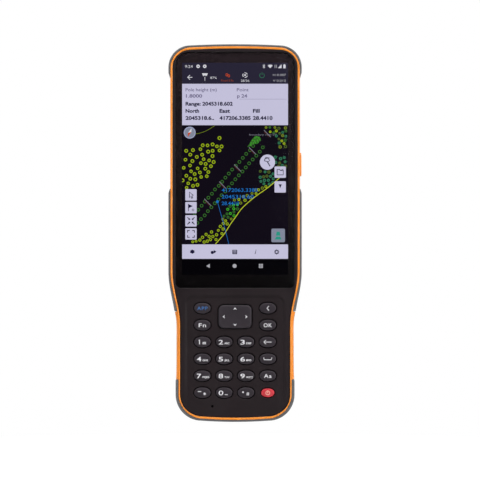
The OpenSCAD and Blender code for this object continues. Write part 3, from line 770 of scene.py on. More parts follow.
def front_housing():
    """Tray with the display frame, the keypad face and its openings. The walls of the openings round the keys
    are painted in shade.
    """
    skin = Skin()
    outer, inner = BAND_WALL + REVEAL, BAND_WALL + SEAM + SHELL_WALL
    rings = [skin.ring(outline(inner), Y_SPLIT - 0.05), skin.ring(lean_in(outline(outer)), Y_SPLIT - 0.05)]
    rings += [skin.ring(lean_in(outline(outer)), y) for y in (0.0, -4.0, -7.8)]
    for drop, inset in fillet(FACE_FILLET, 4):
        rings.append(skin.ring(lean_in(outline(outer + inset)), lambda x, z, d=drop: face_y(x, z) + d))
    skin.loft(rings)
    tops, floors = [], []

    def opening(loop, y_floor, r, edge):
        top, floor = pocket(skin, loop, face_y, y_floor, r)
        skin.edge[top[0]:] = [edge] * (len(skin.edge) - top[0])
        tops.append(top)
        return floor

    wells = [(dpad_loop(KEY_OPEN), 0.3), (circle(*MIC_HOLE, MIC_R, 24), 0.12)]
    for key, place in KEY_GRID.items():
        sides = [key_scale(key) * side + 2 * KEY_OPEN for side in KEY_SIZE]
        wells.append((oval(*key_place(*place), *sides), 0.3))
    for loop, r in wells:
        floors.append(opening(loop, Y_FACE_IN, r, 0.0))
    ledge = opening(window_loop(0.1), Y_LEDGE, 0.25, 0.2)
    sight = round_box(GLASS_LOW, GLASS_HIGH, -LEDGE_W, 3.0, steps=6, side=12)
    under_ledge = Y_LEDGE + LEDGE_T
    sight_top, sight_floor = skin.ring(sight, Y_LEDGE), skin.ring(sight, under_ledge)
    skin.bridge(sight_top, sight_floor)
    skin.fill(ledge, [sight_top])
    skin.fill(rings[-1], tops, FACE_GRID, face_y)

    def under_y(x, z):
        return Y_FACE_IN + (under_ledge - Y_FACE_IN) * smooth((z + 35.6) / 1.6)

    under = skin.ring(outline(inner), under_y)
    skin.bridge(rings[0], under)
    skin.fill(under, [*floors, sight_floor], UNDER_GRID, under_y)
    obj = skin.build("front_housing_shell", MAT["housing"], slot="housing_plastic", nodes=["front_housing"],
                     openings=[port_opening])
    # Painted shade: walls and floors of the openings round the keys and the microphone hole, deeper than 0.3
    # mm below the face, take the near-black shade material.
    obj.data.materials.append(MAT["painted_shade"])
    for face in obj.data.polygons:
        x, y, z = face.center / MM
        near_keys = abs(x) < WELL_REACH and MIC_HOLE[1] - 2 < z < KEY_TOP_Z + 6
        face.material_index = int(near_keys and y > face_y(x, z) + 0.3)


def cutter(name, loop, start, end, place):
    """A straight bar of one outline, that cuts an opening."""
    skin = Skin(place)
    skin.closed([skin.ring(loop, start), skin.ring(loop, end)])
    return skin.solid(name)


def port_opening():
    """The charge port's slot through the band and the housing, at the keypad end."""
    half_x, half_y = PORT_HALF
    loop = rounded(-half_x, half_x, PORT_Y - half_y, PORT_Y + half_y, 0.7, steps=5, side=2)
    return cutter("port_opening", loop, -END - 3.0, -END + 4.0, lambda x, z, y: (x, y, z))


def flap_opening():
    """Room for the charge flap in the bumper."""
    low, high = box_mm("charge_flap")
    loop = rounded(low.x - 0.5, high.x + 0.2, low.y - 0.2, high.y + 0.2, 0.9, steps=6, side=2)
    return cutter("flap_opening", loop, -END - 3.0, -END + 3.0, lambda x, z, y: (x, y, z))


def button_loop(out=0.0):
    """Outline of the side button, in Y and Z."""
    low, high = box_mm("side_button")
    return rounded(low.y - out, high.y + out, low.z - out, high.z + out, (high.y - low.y) / 2 + out - 0.01,
                   steps=12, side=5)


def button_opening():
    """The side button's slot through the band."""
    loop = button_loop(0.35)
    return cutter("button_opening", loop, HALF_TOP - 3.0, HALF_TOP + 3.0, lambda y, x, z: (x, y, z))


def grip_swell(z):
    """How far the exposed grip stands out from the band. It flares towards both bumpers."""
    low, high = HEEL_HIGH.z + 0.1, WAIST_LOW.z - 0.1
    if not low < z < high:
        return 0.0
    flare = math.exp(-(z - low) / 3.5) + math.exp(-(high - z) / 3.5)
    return min(1.5, GRIP + 0.3 * flare) * smooth((z - low) / 0.2) * smooth((high - z) / 0.2)


def turning(dx, dz):
    """0 where a run is upright or level, and 1 where it is near 45 degrees."""
    length = math.hypot(dx, dz)
    return min(1.0, 1.6 * (2 * dx * dz / length ** 2) ** 2)


SHOULDER_Y = -8.15
TURN_SHIFT = 0.3


def rim_band():
    """Orange band: a rounded ridge in front with a painted highlight along it, a shoulder beside it, and a
    wall exposed between the bumpers.
    """
    skin = Skin()
    outer, inner = outline(0.0), outline(BAND_WALL)
    wide = grow(outer, 1.0)
    swell = [grip_swell(z) for _, z in outer]
    before, after = outer[-1:] + outer[:-1], outer[1:] + outer[:1]
    turns = [turning(b[0] - a[0], b[1] - a[1]) for a, b in zip(before, after)]
    wall = [(0.0, 1.0, Y_SPLIT), (0.0, 1.0, 0.0), (0.0, 0.95, -3.0), (0.0, 0.82, -5.4), (0.0, 0.62, -7.0),
            (0.0, 0.4, -7.8), (0.02, 0.16, -8.08)]
    shoulder = [(0.07, 0.03, SHOULDER_Y), (0.12, 0.0, SHOULDER_Y - 0.03)]
    ridge = [(0.15, 0.0, -8.5), (0.19, 0.0, -8.72), (0.28, 0.0, -8.89), (0.42, 0.0, -8.98),
             (0.56, 0.0, Y_FRONT), (0.72, 0.0, -8.98), (0.87, 0.0, -8.91), (1.0, 0.0, -8.78)]
    rings = []
    # Each step holds the place across the wall, the share of the grip's swell, and the depth.
    for t, swing, y in wall + shoulder + ridge + [(1.0, 0.0, -4.0), (1.0, 0.0, Y_SPLIT)]:
        shift = TURN_SHIFT if t > 0.05 else 0.0
        loop = [between([o], [i], t + shift * turn * (1 - t))[0] for o, i, turn in zip(outer, inner, turns)]
        loop = lean_in(loop, max(0.0, t - 0.2) / 0.8)
        loop = [(x + (w[0] - o[0]) * swing * grip, z + (w[1] - o[1]) * swing * grip)
                for (x, z), w, o, grip in zip(loop, wide, outer, swell)]
        # The ridge's middle gets the edge value, which the orange's high wear setting turns into a painted
        # highlight streak.
        rings.append(skin.ring(loop, y, 1.0 if 0.3 < t < 0.8 else 0.0))
    skin.loft(rings + [rings[0]])
    skin.build("rim_band_shell", MAT["orange"], slot="orange_plastic", nodes=["rim_band"],
               openings=[port_opening, button_opening])


LOWER_GRIP_TOP = (WAIST_LOW.z + WAIST_HIGH.z) / 2
BUMPER_ROUND = 0.5
END_STEPS = (0.06, 0.16, 0.32, 0.55, 0.9, 1.3, 1.8, 2.6, 3.6)


def strip_path(node):
    """Pairs of points, on the band and on the bumper's outer skin, from one end of a bumper to the other."""
    low, high = box_mm(node)
    middle = low.x + high.x
    inner, outer = outline(-SEAM), OUTER_BUMPER
    n = len(inner)
    kept = {i for i, (x, z) in enumerate(inner) if low.z < z < high.z and (abs(middle) < 1 or x * middle > 0)}
    start = next(i for i in sorted(kept) if (i - 1) % n not in kept)
    path = [(start + k) % n for k in range(len(kept))]

    def end_pair(i, j):
        limit = low.z if min(inner[i][1], inner[j][1]) < low.z else high.z
        t = (limit - inner[i][1]) / (inner[j][1] - inner[i][1])
        return between([inner[i], outer[i]], [inner[j], outer[j]], t)

    pairs = [end_pair(path[0], (path[0] - 1) % n)]
    pairs += [[inner[i], outer[i]] for i in path]
    pairs.append(end_pair(path[-1], (path[-1] + 1) % n))
    return pairs


def along(pairs):
    """The pairs resampled, close together near both ends. Gives (distance from the nearer end, pair)."""
    at = [0.0]
    for a, b in zip(pairs, pairs[1:]):
        at.append(at[-1] + math.dist(a[0], b[0]))
    total = at[-1]
    fine = [0.0, *END_STEPS]
    stops = fine + [total - d for d in fine]
    stops += [d for d in at if fine[-1] + 0.5 < d < total - fine[-1] - 0.5]
    out = []
    for d in sorted(stops):
        k = max(0, min(len(at) - 2, int(np.searchsorted(at, d, side="right")) - 1))
        t = (d - at[k]) / (at[k + 1] - at[k])
        out.append((min(d, total - d), between(pairs[k], pairs[k + 1], t)))
    return out


def bumper(node, openings=()):
    """One rubber bumper: a crowned strip round the band with thinned, rounded ends."""
    low, high = box_mm(node)
    skin = Skin()
    round_edge = [(1.0 - inset / BUMPER_T, low.y + drop) for inset, drop in fillet(BUMPER_ROUND, 6)]
    middle = (low.y + high.y) / 2
    half = [(0.0, low.y + 0.9), (0.0, low.y + 0.1), (0.03, low.y), *round_edge]
    front = [(0.0, low.y + 0.9), (0.0, SHOULDER_Y - 0.06), (-1.0, SHOULDER_Y - 0.06), (-1.0, low.y + 0.08),
             (-0.5, low.y), *round_edge]
    profile = front + [(1.0, y) for y in (-4.5, -1.5, 1.7, 4.7)]
    profile += [(t, 2 * middle - y) for t, y in reversed(half)]
    rows = []
    for from_end, (at_band, at_skin) in along(strip_path(node)):
        squared = at_band[1] < LOWER_GRIP_TOP
        thick = 0.92 + 0.08 * smooth(from_end / 0.4) if squared else 0.35 + 0.65 * smooth(from_end / 2.8)
        shrink = 1.0 - 0.035 * (1 - math.sqrt(1 - (1 - min(1.0, from_end / 0.7)) ** 2))
        dx, dz = at_skin[0] - at_band[0], at_skin[1] - at_band[1]
        lap = (0.12 + 0.8 * TURN_SHIFT * turning(dx, dz)) / math.hypot(dx, dz)
        row = []
        for t, y in profile:
            spot = between([at_band], [at_skin], t * (thick if t > 0 else lap))[0]
            skin.points.append((spot[0], middle + (y - middle) * shrink, spot[1]))
            skin.edge.append(1.0 if abs(y - middle) > 7.9 or from_end < 0.7 else 0.0)
            row.append(len(skin.points) - 1)
        rows.append(row)
    skin.closed(rows)
    skin.build(node + "_rubber", MAT["bumper"], slot="bumper_rubber", nodes=[node], openings=openings)


def rear_cover():
    """Back shell: the door recess and battery bay, and openings for screws, camera, lamp and speaker."""
    skin = Skin()
    seat = Y_SPLIT + 0.05
    wall = BAND_WALL + SHELL_WALL
    rings = [skin.ring(outline(wall), seat), skin.ring(outline(0.0), seat)]
    rings += [skin.ring(outline(0.0), y) for y in (4.5, 6.4)]
    rings += [skin.ring(outline(inset), Y_BACK - drop, 0.8) for drop, inset in fillet(2.0, 6)]
    skin.loft(rings)
    holes = []

    def sink(loop, depth, r=0.2, closed=True):
        top, floor = pocket(skin, loop, Y_BACK, depth, r, -1.0)
        holes.append(top)
        if closed:
            skin.fill(floor)
        return floor

    def boss(loop, start, end):
        """A raised block on the inside. Gives the ring where it leaves the wall."""
        top, tip = skin.ring(loop, start), skin.ring(loop, end)
        skin.bridge(top, tip)
        skin.fill(tip)
        return top

    shelf = DOOR_LOW.y - 0.05
    under_shelf = shelf - 1.15
    inside_y = Y_BACK - 1.8
    door = round_box(DOOR_LOW, DOOR_HIGH, DOOR_GAP, DOOR_CORNER + DOOR_GAP)
    recess = sink(door, shelf, 0.25, closed=False)
    bay = round_box(BATTERY_LOW, BATTERY_HIGH, BAY_GAP, 1.0, steps=6)
    bay_top, bay_floor = pocket(skin, bay, shelf, BATTERY_LOW.y - 0.1, 0.15, -1.0)
    skin.fill(bay_floor)
    wells, well_bosses = [], []
    for node in DOOR_SCREWS:
        place, tip = middle_mm(node), box_mm(node)[0].y
        top, bottom = pocket(skin, circle(*place, 1.25, 28), shelf, tip - 0.4, 0.1, -1.0)
        skin.fill(bottom)
        wells.append(top)
        well_bosses.append(boss(circle(*place, 1.95, 28), under_shelf, tip - 1.0))
    skin.fill(recess, [bay_top, *wells])

    inner_holes = []
    for x, z in SCREWS:
        sink(circle(x, z, 2.1, 32), SCREW_SEAT, 0.25)
        inner_holes.append(boss(circle(x, z, 2.5, 32), inside_y, seat + 0.1))
    for x, z in INSERTS:
        sink(circle(x, z, 1.9, 28), Y_BACK - 4.1, 0.12)
        inner_holes.append(boss(circle(x, z, 3.0, 32), inside_y, Y_BACK - 4.9))
    cx, cz = middle_mm("camera_window")
    sink(circle(cx, cz, 5.1, 48), box_mm("camera_window")[0].y - 0.03, 0.3)
    sink(circle(middle_mm("flash_led")[0], cz, 1.9, 28), 7.6, 0.2)
    sx, sz = middle_mm("speaker_mesh")
    for k in range(-2, 3):
        x = sx + k * 2.6
        slot = rounded(x - 0.6, x + 0.6, sz - 4, sz + 4, 0.59, steps=6, side=4)
        inner_holes.append(sink(slot, inside_y, 0.15, closed=False))
    skin.fill(rings[-1], holes, 6.0, lambda x, z: Y_BACK)

    inner_wall = skin.ring(outline(wall), inside_y)
    skin.bridge(rings[0], inner_wall)
    step = grow(door, -0.6)
    step_top, step_low = skin.ring(step, inside_y), skin.ring(step, under_shelf)
    skin.bridge(step_top, step_low)
    bay_boss = boss(grow(bay, 1.1), under_shelf, BATTERY_LOW.y - 0.9)
    skin.fill(step_low, [bay_boss, *well_bosses])
    skin.fill(inner_wall, [step_top, *inner_holes])
    skin.build("rear_cover_shell", MAT["rear"], slot="housing_plastic", nodes=["rear_cover"])


def battery_door():
    """Door plate with rounded edges, screw seats, and finger ridges at the top."""
    skin = Skin()
    loop = round_box(DOOR_LOW, DOOR_HIGH, 0.0, DOOR_CORNER)
    rings = [skin.ring(grow(loop, -0.1), DOOR_LOW.y), skin.ring(loop, DOOR_LOW.y + 0.1)]
    rings += [skin.ring(grow(loop, -inset), DOOR_HIGH.y - drop, 1.0) for drop, inset in fillet(0.35, 4)]
    skin.loft(rings)
    tops, floors = [], []
    seat_y = DOOR_HIGH.y - 0.9
    for node in DOOR_SCREWS:
        place = middle_mm(node)
        top, seat = pocket(skin, circle(*place, 2.65, 40), DOOR_HIGH.y, seat_y, 0.15, -1.0)
        bore = [skin.ring(circle(*place, 1.35, 40), y) for y in (seat_y, DOOR_LOW.y)]
        skin.loft([seat, *bore])
        tops.append(top)
        floors.append(bore[1])
    for k in range(FINGER_RIDGES):
        z = DOOR_HIGH.z - 11.0 - k * 2.4
        half = 9.0 - k * 0.9
        groove = rounded(-half, half, z - 0.55, z + 0.55, 0.54, steps=6, side=8)
        top, floor = pocket(skin, groove, DOOR_HIGH.y, DOOR_HIGH.y - 0.45, 0.25, -1.0)
        skin.fill(floor)
        tops.append(top)
    skin.fill(rings[-1], tops)
    skin.fill(rings[0], floors)
    skin.build("battery_door_plate", MAT["rear"], "battery_door", "housing_plastic", ["battery_door"])


# ---------------------------------------------------------------- keys

KEY_CROWN = 0.28
KEY_ROUND = 0.62
KEY_EDGE = 1.05


def crown(x, z, cx, cz):
    """How far the key's crowned top has fallen at a place, from its middle."""
    wide = abs((x - cx) / (KEY_SIZE[0] / 2 - KEY_ROUND)) ** OVAL_POWER
    high = abs((z - cz) / (KEY_SIZE[1] / 2 - KEY_ROUND)) ** OVAL_POWER
    return KEY_CROWN * (wide + high) ** (2 / OVAL_POWER)


def key_cap(name, column, row):
    """A key: a crowned oval cap over its flange and nub. The flange, the nub and the cap's lower sides are
    painted in shade.
    """
    low, high = box_mm(name)
    cx, cz = key_place(column, row)
    flange = oval(cx, cz, high.x - low.x, high.z - low.z)
    cap = oval(cx, cz, *(side * key_scale(name) for side in KEY_SIZE))
    nub = oval(cx, cz, 2.4, 2.4, 2.0)
    top = low.y
    y_flange = Y_FACE_IN + 0.05
    skin = Skin()
    rings = [skin.ring(nub, high.y), skin.ring(nub, y_flange + 0.6), skin.ring(flange, y_flange + 0.6),
             skin.ring(flange, y_flange), skin.ring(cap, y_flange), skin.ring(cap, y_flange - 0.7),
             skin.ring(cap, top + KEY_EDGE)]

    def add_ring(inset, share, depth, edge):
        """One ring of the cap's top, moved in from its edge and shrunk to a share."""
        shrink = [(1 - inset / (side / 2)) * share for side in KEY_SIZE]
        rings.append(skin.ring(scaled(cap, *shrink), top + depth, edge))

    for drop, inset in fillet(KEY_ROUND, 5)[1:]:
        add_ring(inset, 1.0, KEY_CROWN + (KEY_EDGE - KEY_CROWN) * drop / KEY_ROUND, 0.8)
    for share in (0.8, 0.55, 0.28):
        add_ring(KEY_ROUND, share, KEY_CROWN * share * share, 0.0)
    skin.loft(rings)
    skin.fan(rings[-1], top)
    skin.fan(rings[0], high.y)
    power = name == "key_power"
    obj = skin.build(name + "_cap", MAT["power" if power else "key"], name,
                     "power_key_plastic" if power else "key_plastic", [name], sharp=50)
    # Painted shade: faces deeper than just above the flange take the near-black shade material.
    obj.data.materials.append(MAT["painted_shade"])
    for face in obj.data.polygons:
        face.material_index = int(face.center.y > (y_flange - 0.4) * MM)


PAD_BOTTOM = -7.0
PAD_ROUND = 0.9
PAD_DISH = 0.28


def dpad():
    """Direction pad: a rounded plate with a soft dish, four nubs and its pivot ears."""
    low, high = box_mm("dpad_cap")
    skin = Skin()
    loop = dpad_loop()
    w, h = DPAD_SIZE[0] / 2, DPAD_SIZE[1] / 2
    rings = [skin.ring(loop, PAD_BOTTOM), skin.ring(loop, low.y + PAD_ROUND)]
    rings += [skin.ring(grow(loop, -inset), low.y + drop, 0.8) for drop, inset in fillet(PAD_ROUND, 6)[1:]]
    for share, dip in ((0.82, 0.03), (0.6, 0.14), (0.35, 0.24), (0.12, PAD_DISH)):
        ring = scaled(loop, (1 - PAD_ROUND / w) * share, (1 - PAD_ROUND / h) * share)
        rings.append(skin.ring(ring, low.y + dip))
    skin.loft(rings)
    skin.fan(rings[-1], low.y + PAD_DISH)
    skin.fill(rings[0])
    root_y = PAD_BOTTOM - 0.1
    for x, z in ((7.0, 0.0), (-7.0, 0.0), (0.0, 4.6), (0.0, -4.6)):
        foot = circle(x, DPAD_CENTRE + z, 1.0, 24)
        skin.closed([skin.ring(foot, root_y), skin.ring(foot, -5.2), skin.ring(scaled(foot, 0.8), -5.0)])
    for side in (-1, 1):
        ear_z = DPAD_CENTRE + side * 2.0
        ear = rounded(-1.1, 1.1, ear_z - 0.45, ear_z + 0.45, 0.2, steps=3, side=2)
        skin.closed([skin.ring(ear, root_y), skin.ring(ear, high.y - 0.15)])
    skin.build("dpad_cap_plate", MAT["key"], "dpad_cap", "key_plastic", ["dpad_cap"], sharp=50)


# ---------------------------------------------------------------- flat artwork

CAPITAL_SHARE = 0.72


class Artwork:
    """Flat shapes of one colour, placed from an origin, and gathered into one thin mesh."""

    def __init__(self, y, thick, origin=(0.0, 0.0)):
        self.y, self.thick, self.origin = y, thick, origin
        self.points, self.faces = [], []

    def add(self, points, faces):
        start = len(self.points)
        self.points += [(x + self.origin[0], z + self.origin[1]) for x, z in points]
        self.faces += [tuple(start + i for i in f) for f in faces]

    def shape(self, loop):
        self.add(loop, [tuple(range(len(loop)))])

    def box(self, x0, x1, z0, z1, r=0.0):
        square = [(x0, z0), (x1, z0), (x1, z1), (x0, z1)]
        self.shape(rounded(x0, x1, z0, z1, r, steps=5, side=1) if r else square)

    def disc(self, cx, cz, r, steps=20):
        self.shape(circle(cx, cz, r, steps))

    def ring(self, cx, cz, r, width, steps=20):
        a, b = circle(cx, cz, r, steps), circle(cx, cz, r - width, steps)
        self.add(a + b, [(i, (i + 1) % steps, steps + (i + 1) % steps, steps + i) for i in range(steps)])

    def line(self, path, width, closed=False):
        """A stroke of even width along a path."""
        n = len(path)
        left, right = [], []
        for i, (x, z) in enumerate(path):
            before = path[i - 1] if i or closed else path[i]
            after = path[(i + 1) % n] if i < n - 1 or closed else path[i]
            dx, dz = after[0] - before[0], after[1] - before[1]
            size = math.hypot(dx, dz) or 1.0
            ox, oz = -dz / size * width / 2, dx / size * width / 2
            left.append((x + ox, z + oz))
            right.append((x - ox, z - oz))
        steps = n if closed else n - 1
        self.add(left + right, [(n + i, n + (i + 1) % n, (i + 1) % n, i) for i in range(steps)])

    def text(self, words, x, z, size, wide, align="LEFT", bold=0.0, spacing=1.0):
        """Words whose capital letters are as tall as the size, standing on z and stretched to a width."""
        curve = bpy.data.curves.new("words", "FONT")
        curve.body = words
        curve.size = size / CAPITAL_SHARE
        curve.offset = bold
        curve.space_character = spacing
        curve.resolution_u = 3
        curve.fill_mode = "FRONT"
        holder = bpy.data.objects.new("words", curve)
        bpy.context.scene.collection.objects.link(holder)
        made = holder.evaluated_get(bpy.context.evaluated_depsgraph_get()).to_mesh()
        left = min(v.co.x for v in made.vertices)
        natural = max(v.co.x for v in made.vertices) - left
        start = x - (wide / 2 if align == "CENTER" else 0.0)
        self.add([(start + (v.co.x - left) * wide / natural, z + v.co.y) for v in made.vertices],
                 [tuple(p.vertices) for p in made.polygons])
        bpy.data.objects.remove(holder)
        bpy.data.curves.remove(curve)

    def build(self, name, mat, body="root", slot=None):
        """A closed thin mesh: the shapes in front, the same shapes behind, and walls between."""
        mesh = bpy.data.meshes.new(name)
        mesh.from_pydata([(x * MM, 0.0, z * MM) for x, z in self.points], [], self.faces)
        bm = bmesh.new()
        bm.from_mesh(mesh)
        bmesh.ops.remove_doubles(bm, verts=bm.verts, dist=1e-8)
        if callable(self.y):
            follow_curve(bm)
        for v in bm.verts:
            v.co.y = (self.y(v.co.x / MM, v.co.z / MM) if callable(self.y) else self.y) * MM
        bm.normal_update()
        bmesh.ops.reverse_faces(bm, faces=[f for f in bm.faces if f.normal.y > 0])
        made = bmesh.ops.extrude_face_region(bm, geom=list(bm.faces))
        moved = [v for v in made["geom"] if isinstance(v, bmesh.types.BMVert)]
        bmesh.ops.translate(bm, verts=moved, vec=(0, -self.thick * MM, 0))
        bmesh.ops.recalc_face_normals(bm, faces=bm.faces)
        bm.to_mesh(mesh)
        bm.free()
        obj = bpy.data.objects.new(name, mesh)
        bpy.context.scene.collection.objects.link(obj)
        mesh.materials.append(mat)
        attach(obj, body)


PRINT_STEP = 0.5


def follow_curve(bm):
    """Splits long edges, so that a print can lie on a curved top."""
    bmesh.ops.triangulate(bm, faces=bm.faces)
    for _ in range(5):
        long_edges = [e for e in bm.edges if e.calc_length() > PRINT_STEP * MM]
        if not long_edges:
            break
        bmesh.ops.subdivide_edges(bm, edges=long_edges, cuts=1)
        bmesh.ops.triangulate(bm, faces=bm.faces)


LETTERS = {"key_2": "ABC", "key_3": "DEF", "key_4": "GHI", "key_5": "JKL", "key_6": "MNO",
           "key_7": "PQRS", "key_8": "TUV", "key_9": "WXYZ"}


def spoke(cx, cz, reach, degrees):
    """A straight stroke through a middle, at an angle."""
    dx, dz = reach * math.cos(math.radians(degrees)), reach * math.sin(math.radians(degrees))
    return [(cx - dx, cz - dz), (cx + dx, cz + dz)]


# Strokes of each sign, as (path from the key's centre, width).
SIGNS = {
    "key_0": [([(0.35, -1.1), (2.1, -1.1)], 0.34)],
    "key_1": [([(-2.25, 1.0), (-1.7, 1.22)], 0.3),
              *(([(0.1, z), (2.1, z)], 0.22) for z in (-1.15, -0.65, -0.15)),
              *(([(x, -1.3), (x, 0.1)], 0.18) for x in (0.45, 1.1, 1.75))],
    "key_star": [([(-2.7, 0.75), (-0.7, 0.75)], 0.42),
                 *((spoke(1.35, -0.6, 0.8, a), 0.36) for a in (90, 150, 210))],
    "key_hash": [*(([(1.0 + k, -1.6), (1.2 + k, 0.3)], 0.26) for k in (-0.36, 0.36)),
                 *(([(0.3, k - 0.65), (1.9, k - 0.65)], 0.26) for k in (-0.36, 0.36))],
    "key_back": [([(0.7, 1.3), (-0.55, 0.0), (0.7, -1.3)], 0.42)],
    "key_delete": [([(-2.1, 0.0), (2.3, 0.0)], 0.36), ([(-1.1, 1.2), (-2.3, 0.0), (-1.1, -1.2)], 0.4)],
    "key_space": [([(-2.4, 0.85), (-2.1, -0.45), (2.1, -0.45), (2.4, 0.85)], 0.4)],
    "key_power": [([(0.0, -0.25), (0.0, 0.75)], 0.36)],
}
# Words on the middle of a key, as (word, height, width).
KEY_WORDS = {"key_app": ("APP", 2.1, 6.2), "key_fn": ("Fn", 2.3, 4.3), "key_ok": ("OK", 2.3, 4.9),
             "key_shift": ("Aa", 2.3, 4.5)}
LEGEND_INK = {"key_app": "legend_blue", "key_power": "legend_red"}
LEGEND_BOLD = 0.03


def key_legend(name, column, row):
    """The print on one key: a digit with its letters, a word, or a sign."""
    low, _ = box_mm(name)
    cx, cz = key_place(column, row)

    def on_cap(x, z):
        return low.y + crown(x, z, cx, cz) - 0.005

    art = Artwork(on_cap, 0.02, (cx, cz))
    for path, width in SIGNS.get(name, []):
        art.line(path, width)
    if name in LETTERS:
        letters = LETTERS[name]
        art.text(name[-1], -3.3, -1.4, 2.75, 2.65, bold=LEGEND_BOLD)
        art.text(letters, 0.1, -1.28, 1.1, 0.95 * len(letters) + 0.2, bold=LEGEND_BOLD)
    elif name in KEY_WORDS:
        words, size, wide = KEY_WORDS[name]
        art.text(words, 0.0, -size / 2, size, wide, "CENTER", LEGEND_BOLD, 1.12)
    elif name == "key_0":
        art.text("0", -3.3, -1.4, 2.8, 2.8, bold=LEGEND_BOLD)
    elif name == "key_1":
        art.box(-1.9, -1.45, -1.35, 1.35)
    elif name == "key_hash":
        art.disc(-1.7, 0.35, 0.52)
    elif name == "key_power":
        art.ring(0.0, -0.05, 1.3, 0.32)
    art.build(name + "_legend", MAT[LEGEND_INK.get(name, "legend")], name)


def dpad_legend():
    """Four arrow heads, one near each edge of the pad."""
    low, _ = box_mm("dpad_cap")
    w, h = DPAD_SIZE[0] / 2, DPAD_SIZE[1] / 2

    def on_pad(x, z):
        share = max(abs(x) / (w - PAD_ROUND), abs(z - DPAD_CENTRE) / (h - PAD_ROUND))
        return low.y + PAD_DISH * (1 - smooth(share / 0.95)) - 0.03

    art = Artwork(on_pad, 0.03, (0.0, DPAD_CENTRE))
    arrow = [(0.75, 0.0), (-0.65, 1.05), (-0.15, 0.0), (-0.65, -1.05)]
    for dx, dz in ((0, 1), (0, -1), (1, 0), (-1, 0)):
        turned = [(dx * (6.6 + along_way) - dz * across, dz * (4.75 + along_way) + dx * across)
                  for along_way, across in arrow]
        art.add(turned, [(0, 1, 2), (0, 2, 3)])
    art.build("dpad_arrows", MAT["legend"], "dpad_cap")


# ---------------------------------------------------------------- glass and display

def cover_glass():
    """The cover glass, with rounded edges that carry the edge value."""
    skin = Skin()
    front, back = slab_skin(skin, window_loop(), GLASS_LOW.y, GLASS_HIGH.y, 0.3)
    for rim, y in ((front, GLASS_LOW.y), (back, GLASS_HIGH.y)):
        flat = skin.ring(window_loop(-0.7), y)
        skin.bridge(rim, flat)
        skin.fill(flat)
    skin.build("cover_glass_pane", MAT["glass"], slot="cover_glass", nodes=["cover_glass"])


ACTIVE = (-31.22, 31.22, -24.5, 100.4)


def display_cell():
    """The display's case, and the black print that frames the lit area."""
    skin = Skin()
    loop = round_box(LCD_LOW, LCD_HIGH, 0.0, 1.5, steps=6, side=10)
    front, back = slab_skin(skin, loop, Y_SCREEN, LCD_HIGH.y, 0.2)
    skin.fill(front)
    skin.fill(back)
    skin.build("display_case", MAT["panel"], slot="display", nodes=["lcd_module"])
    print_skin = Skin()
    out = window_loop(-0.35)
    lit = rounded(*ACTIVE, 0.05, steps=2, side=20)
    y0, y1 = GLASS_HIGH.y + 0.01, GLASS_HIGH.y + 0.05
    places = [(out, y0), (out, y1), (lit, y1), (lit, y0)]
    rings = [print_skin.ring(edge, y) for edge, y in places]
    print_skin.bridge(rings[0], rings[1])
    print_skin.bridge(rings[2], rings[3])
    print_skin.fill(rings[0], [rings[3]])
    print_skin.fill(rings[1], [rings[2]])
    print_skin.build("display_border", MAT["border"], slot="adhesive")


SCREEN = {
    "header": srgb(41, 38, 55), "panel": srgb(200, 197, 222), "ink": srgb(28, 24, 55),
    "grey_ink": srgb(112, 107, 138), "map": srgb(16, 11, 22), "nav": srgb(3, 2, 5),
    "white": srgb(216, 216, 222), "leaf": srgb(150, 172, 24), "green": srgb(54, 106, 42),
    "teal": srgb(48, 116, 84), "blue": srgb(26, 112, 192), "yellow": srgb(196, 208, 46),
    "dash": srgb(120, 120, 132), "orange": srgb(204, 76, 34), "soft": srgb(172, 172, 178),
    "button": srgb(132, 138, 156), "slate": srgb(160, 166, 196), "rust": srgb(140, 62, 34),
    "bark": srgb(72, 30, 28), "olive": srgb(116, 132, 30), "lime": srgb(60, 168, 40),
    "moss": srgb(78, 96, 38), "aqua": srgb(44, 152, 132),
}
LAYER_STEP = 0.02


class Display:
    """Artwork in several colours and layers. A higher layer lies nearer to the glass."""

    def __init__(self):
        self.sheets = {}

    def on(self, colour, layer):
        """The sheet of one colour in one layer, made when it is first asked for."""
        key = (colour, layer)
        if key not in self.sheets:
            self.sheets[key] = Artwork(Y_SCREEN - 0.02 - LAYER_STEP * layer, 0.01)
        return self.sheets[key]

    def build(self):
        for (colour, layer), art in self.sheets.items():
            art.build(f"screen_{colour}_{layer}", GLOWS[colour], slot="display")


GLOWS = {name: glow("screen_" + name, colour) for name, colour in SCREEN.items()}


def bands(view):
    """The display's horizontal bands."""
    x0, x1, z0, z1 = ACTIVE
    levels = [z1, 88.0, 63.6, -6.7, -15.2, z0]
    for colour, top, low in zip(("header", "panel", "map", "panel", "nav"), levels, levels[1:]):
        view.on(colour, 0).box(x0, x1, low, top)


def status_rows(view):
    """The top row: clock, two round marks, then link, signal and battery marks."""
    white, soft = view.on("white", 2), view.on("soft", 2)
    white.text("9:24", -29.5, 97.4, 1.7, 4.5)
    for x in (-21.8, -17.9):
        white.ring(x, 98.3, 1.05, 0.7)
    white.line([(16.3, 97.6), (17.6, 99.0), (17.0, 99.5), (17.0, 97.1), (17.6, 97.6), (16.3, 99.0)], 0.28)
    white.shape([(20.7, 97.1), *arc(20.7, 97.1, 2.2, 48, 132, 8)])
    soft.line([(23.5, 97.3), (23.5, 99.2)], 0.35)
    soft.line([(24.4, 97.3), (24.4, 99.2)], 0.35)
    white.shape([(25.2, 97.2), (27.4, 97.2), (27.4, 99.5)])
    white.box(28.4, 29.8, 97.1, 99.2, 0.2)
    white.box(28.8, 29.4, 99.1, 99.6)


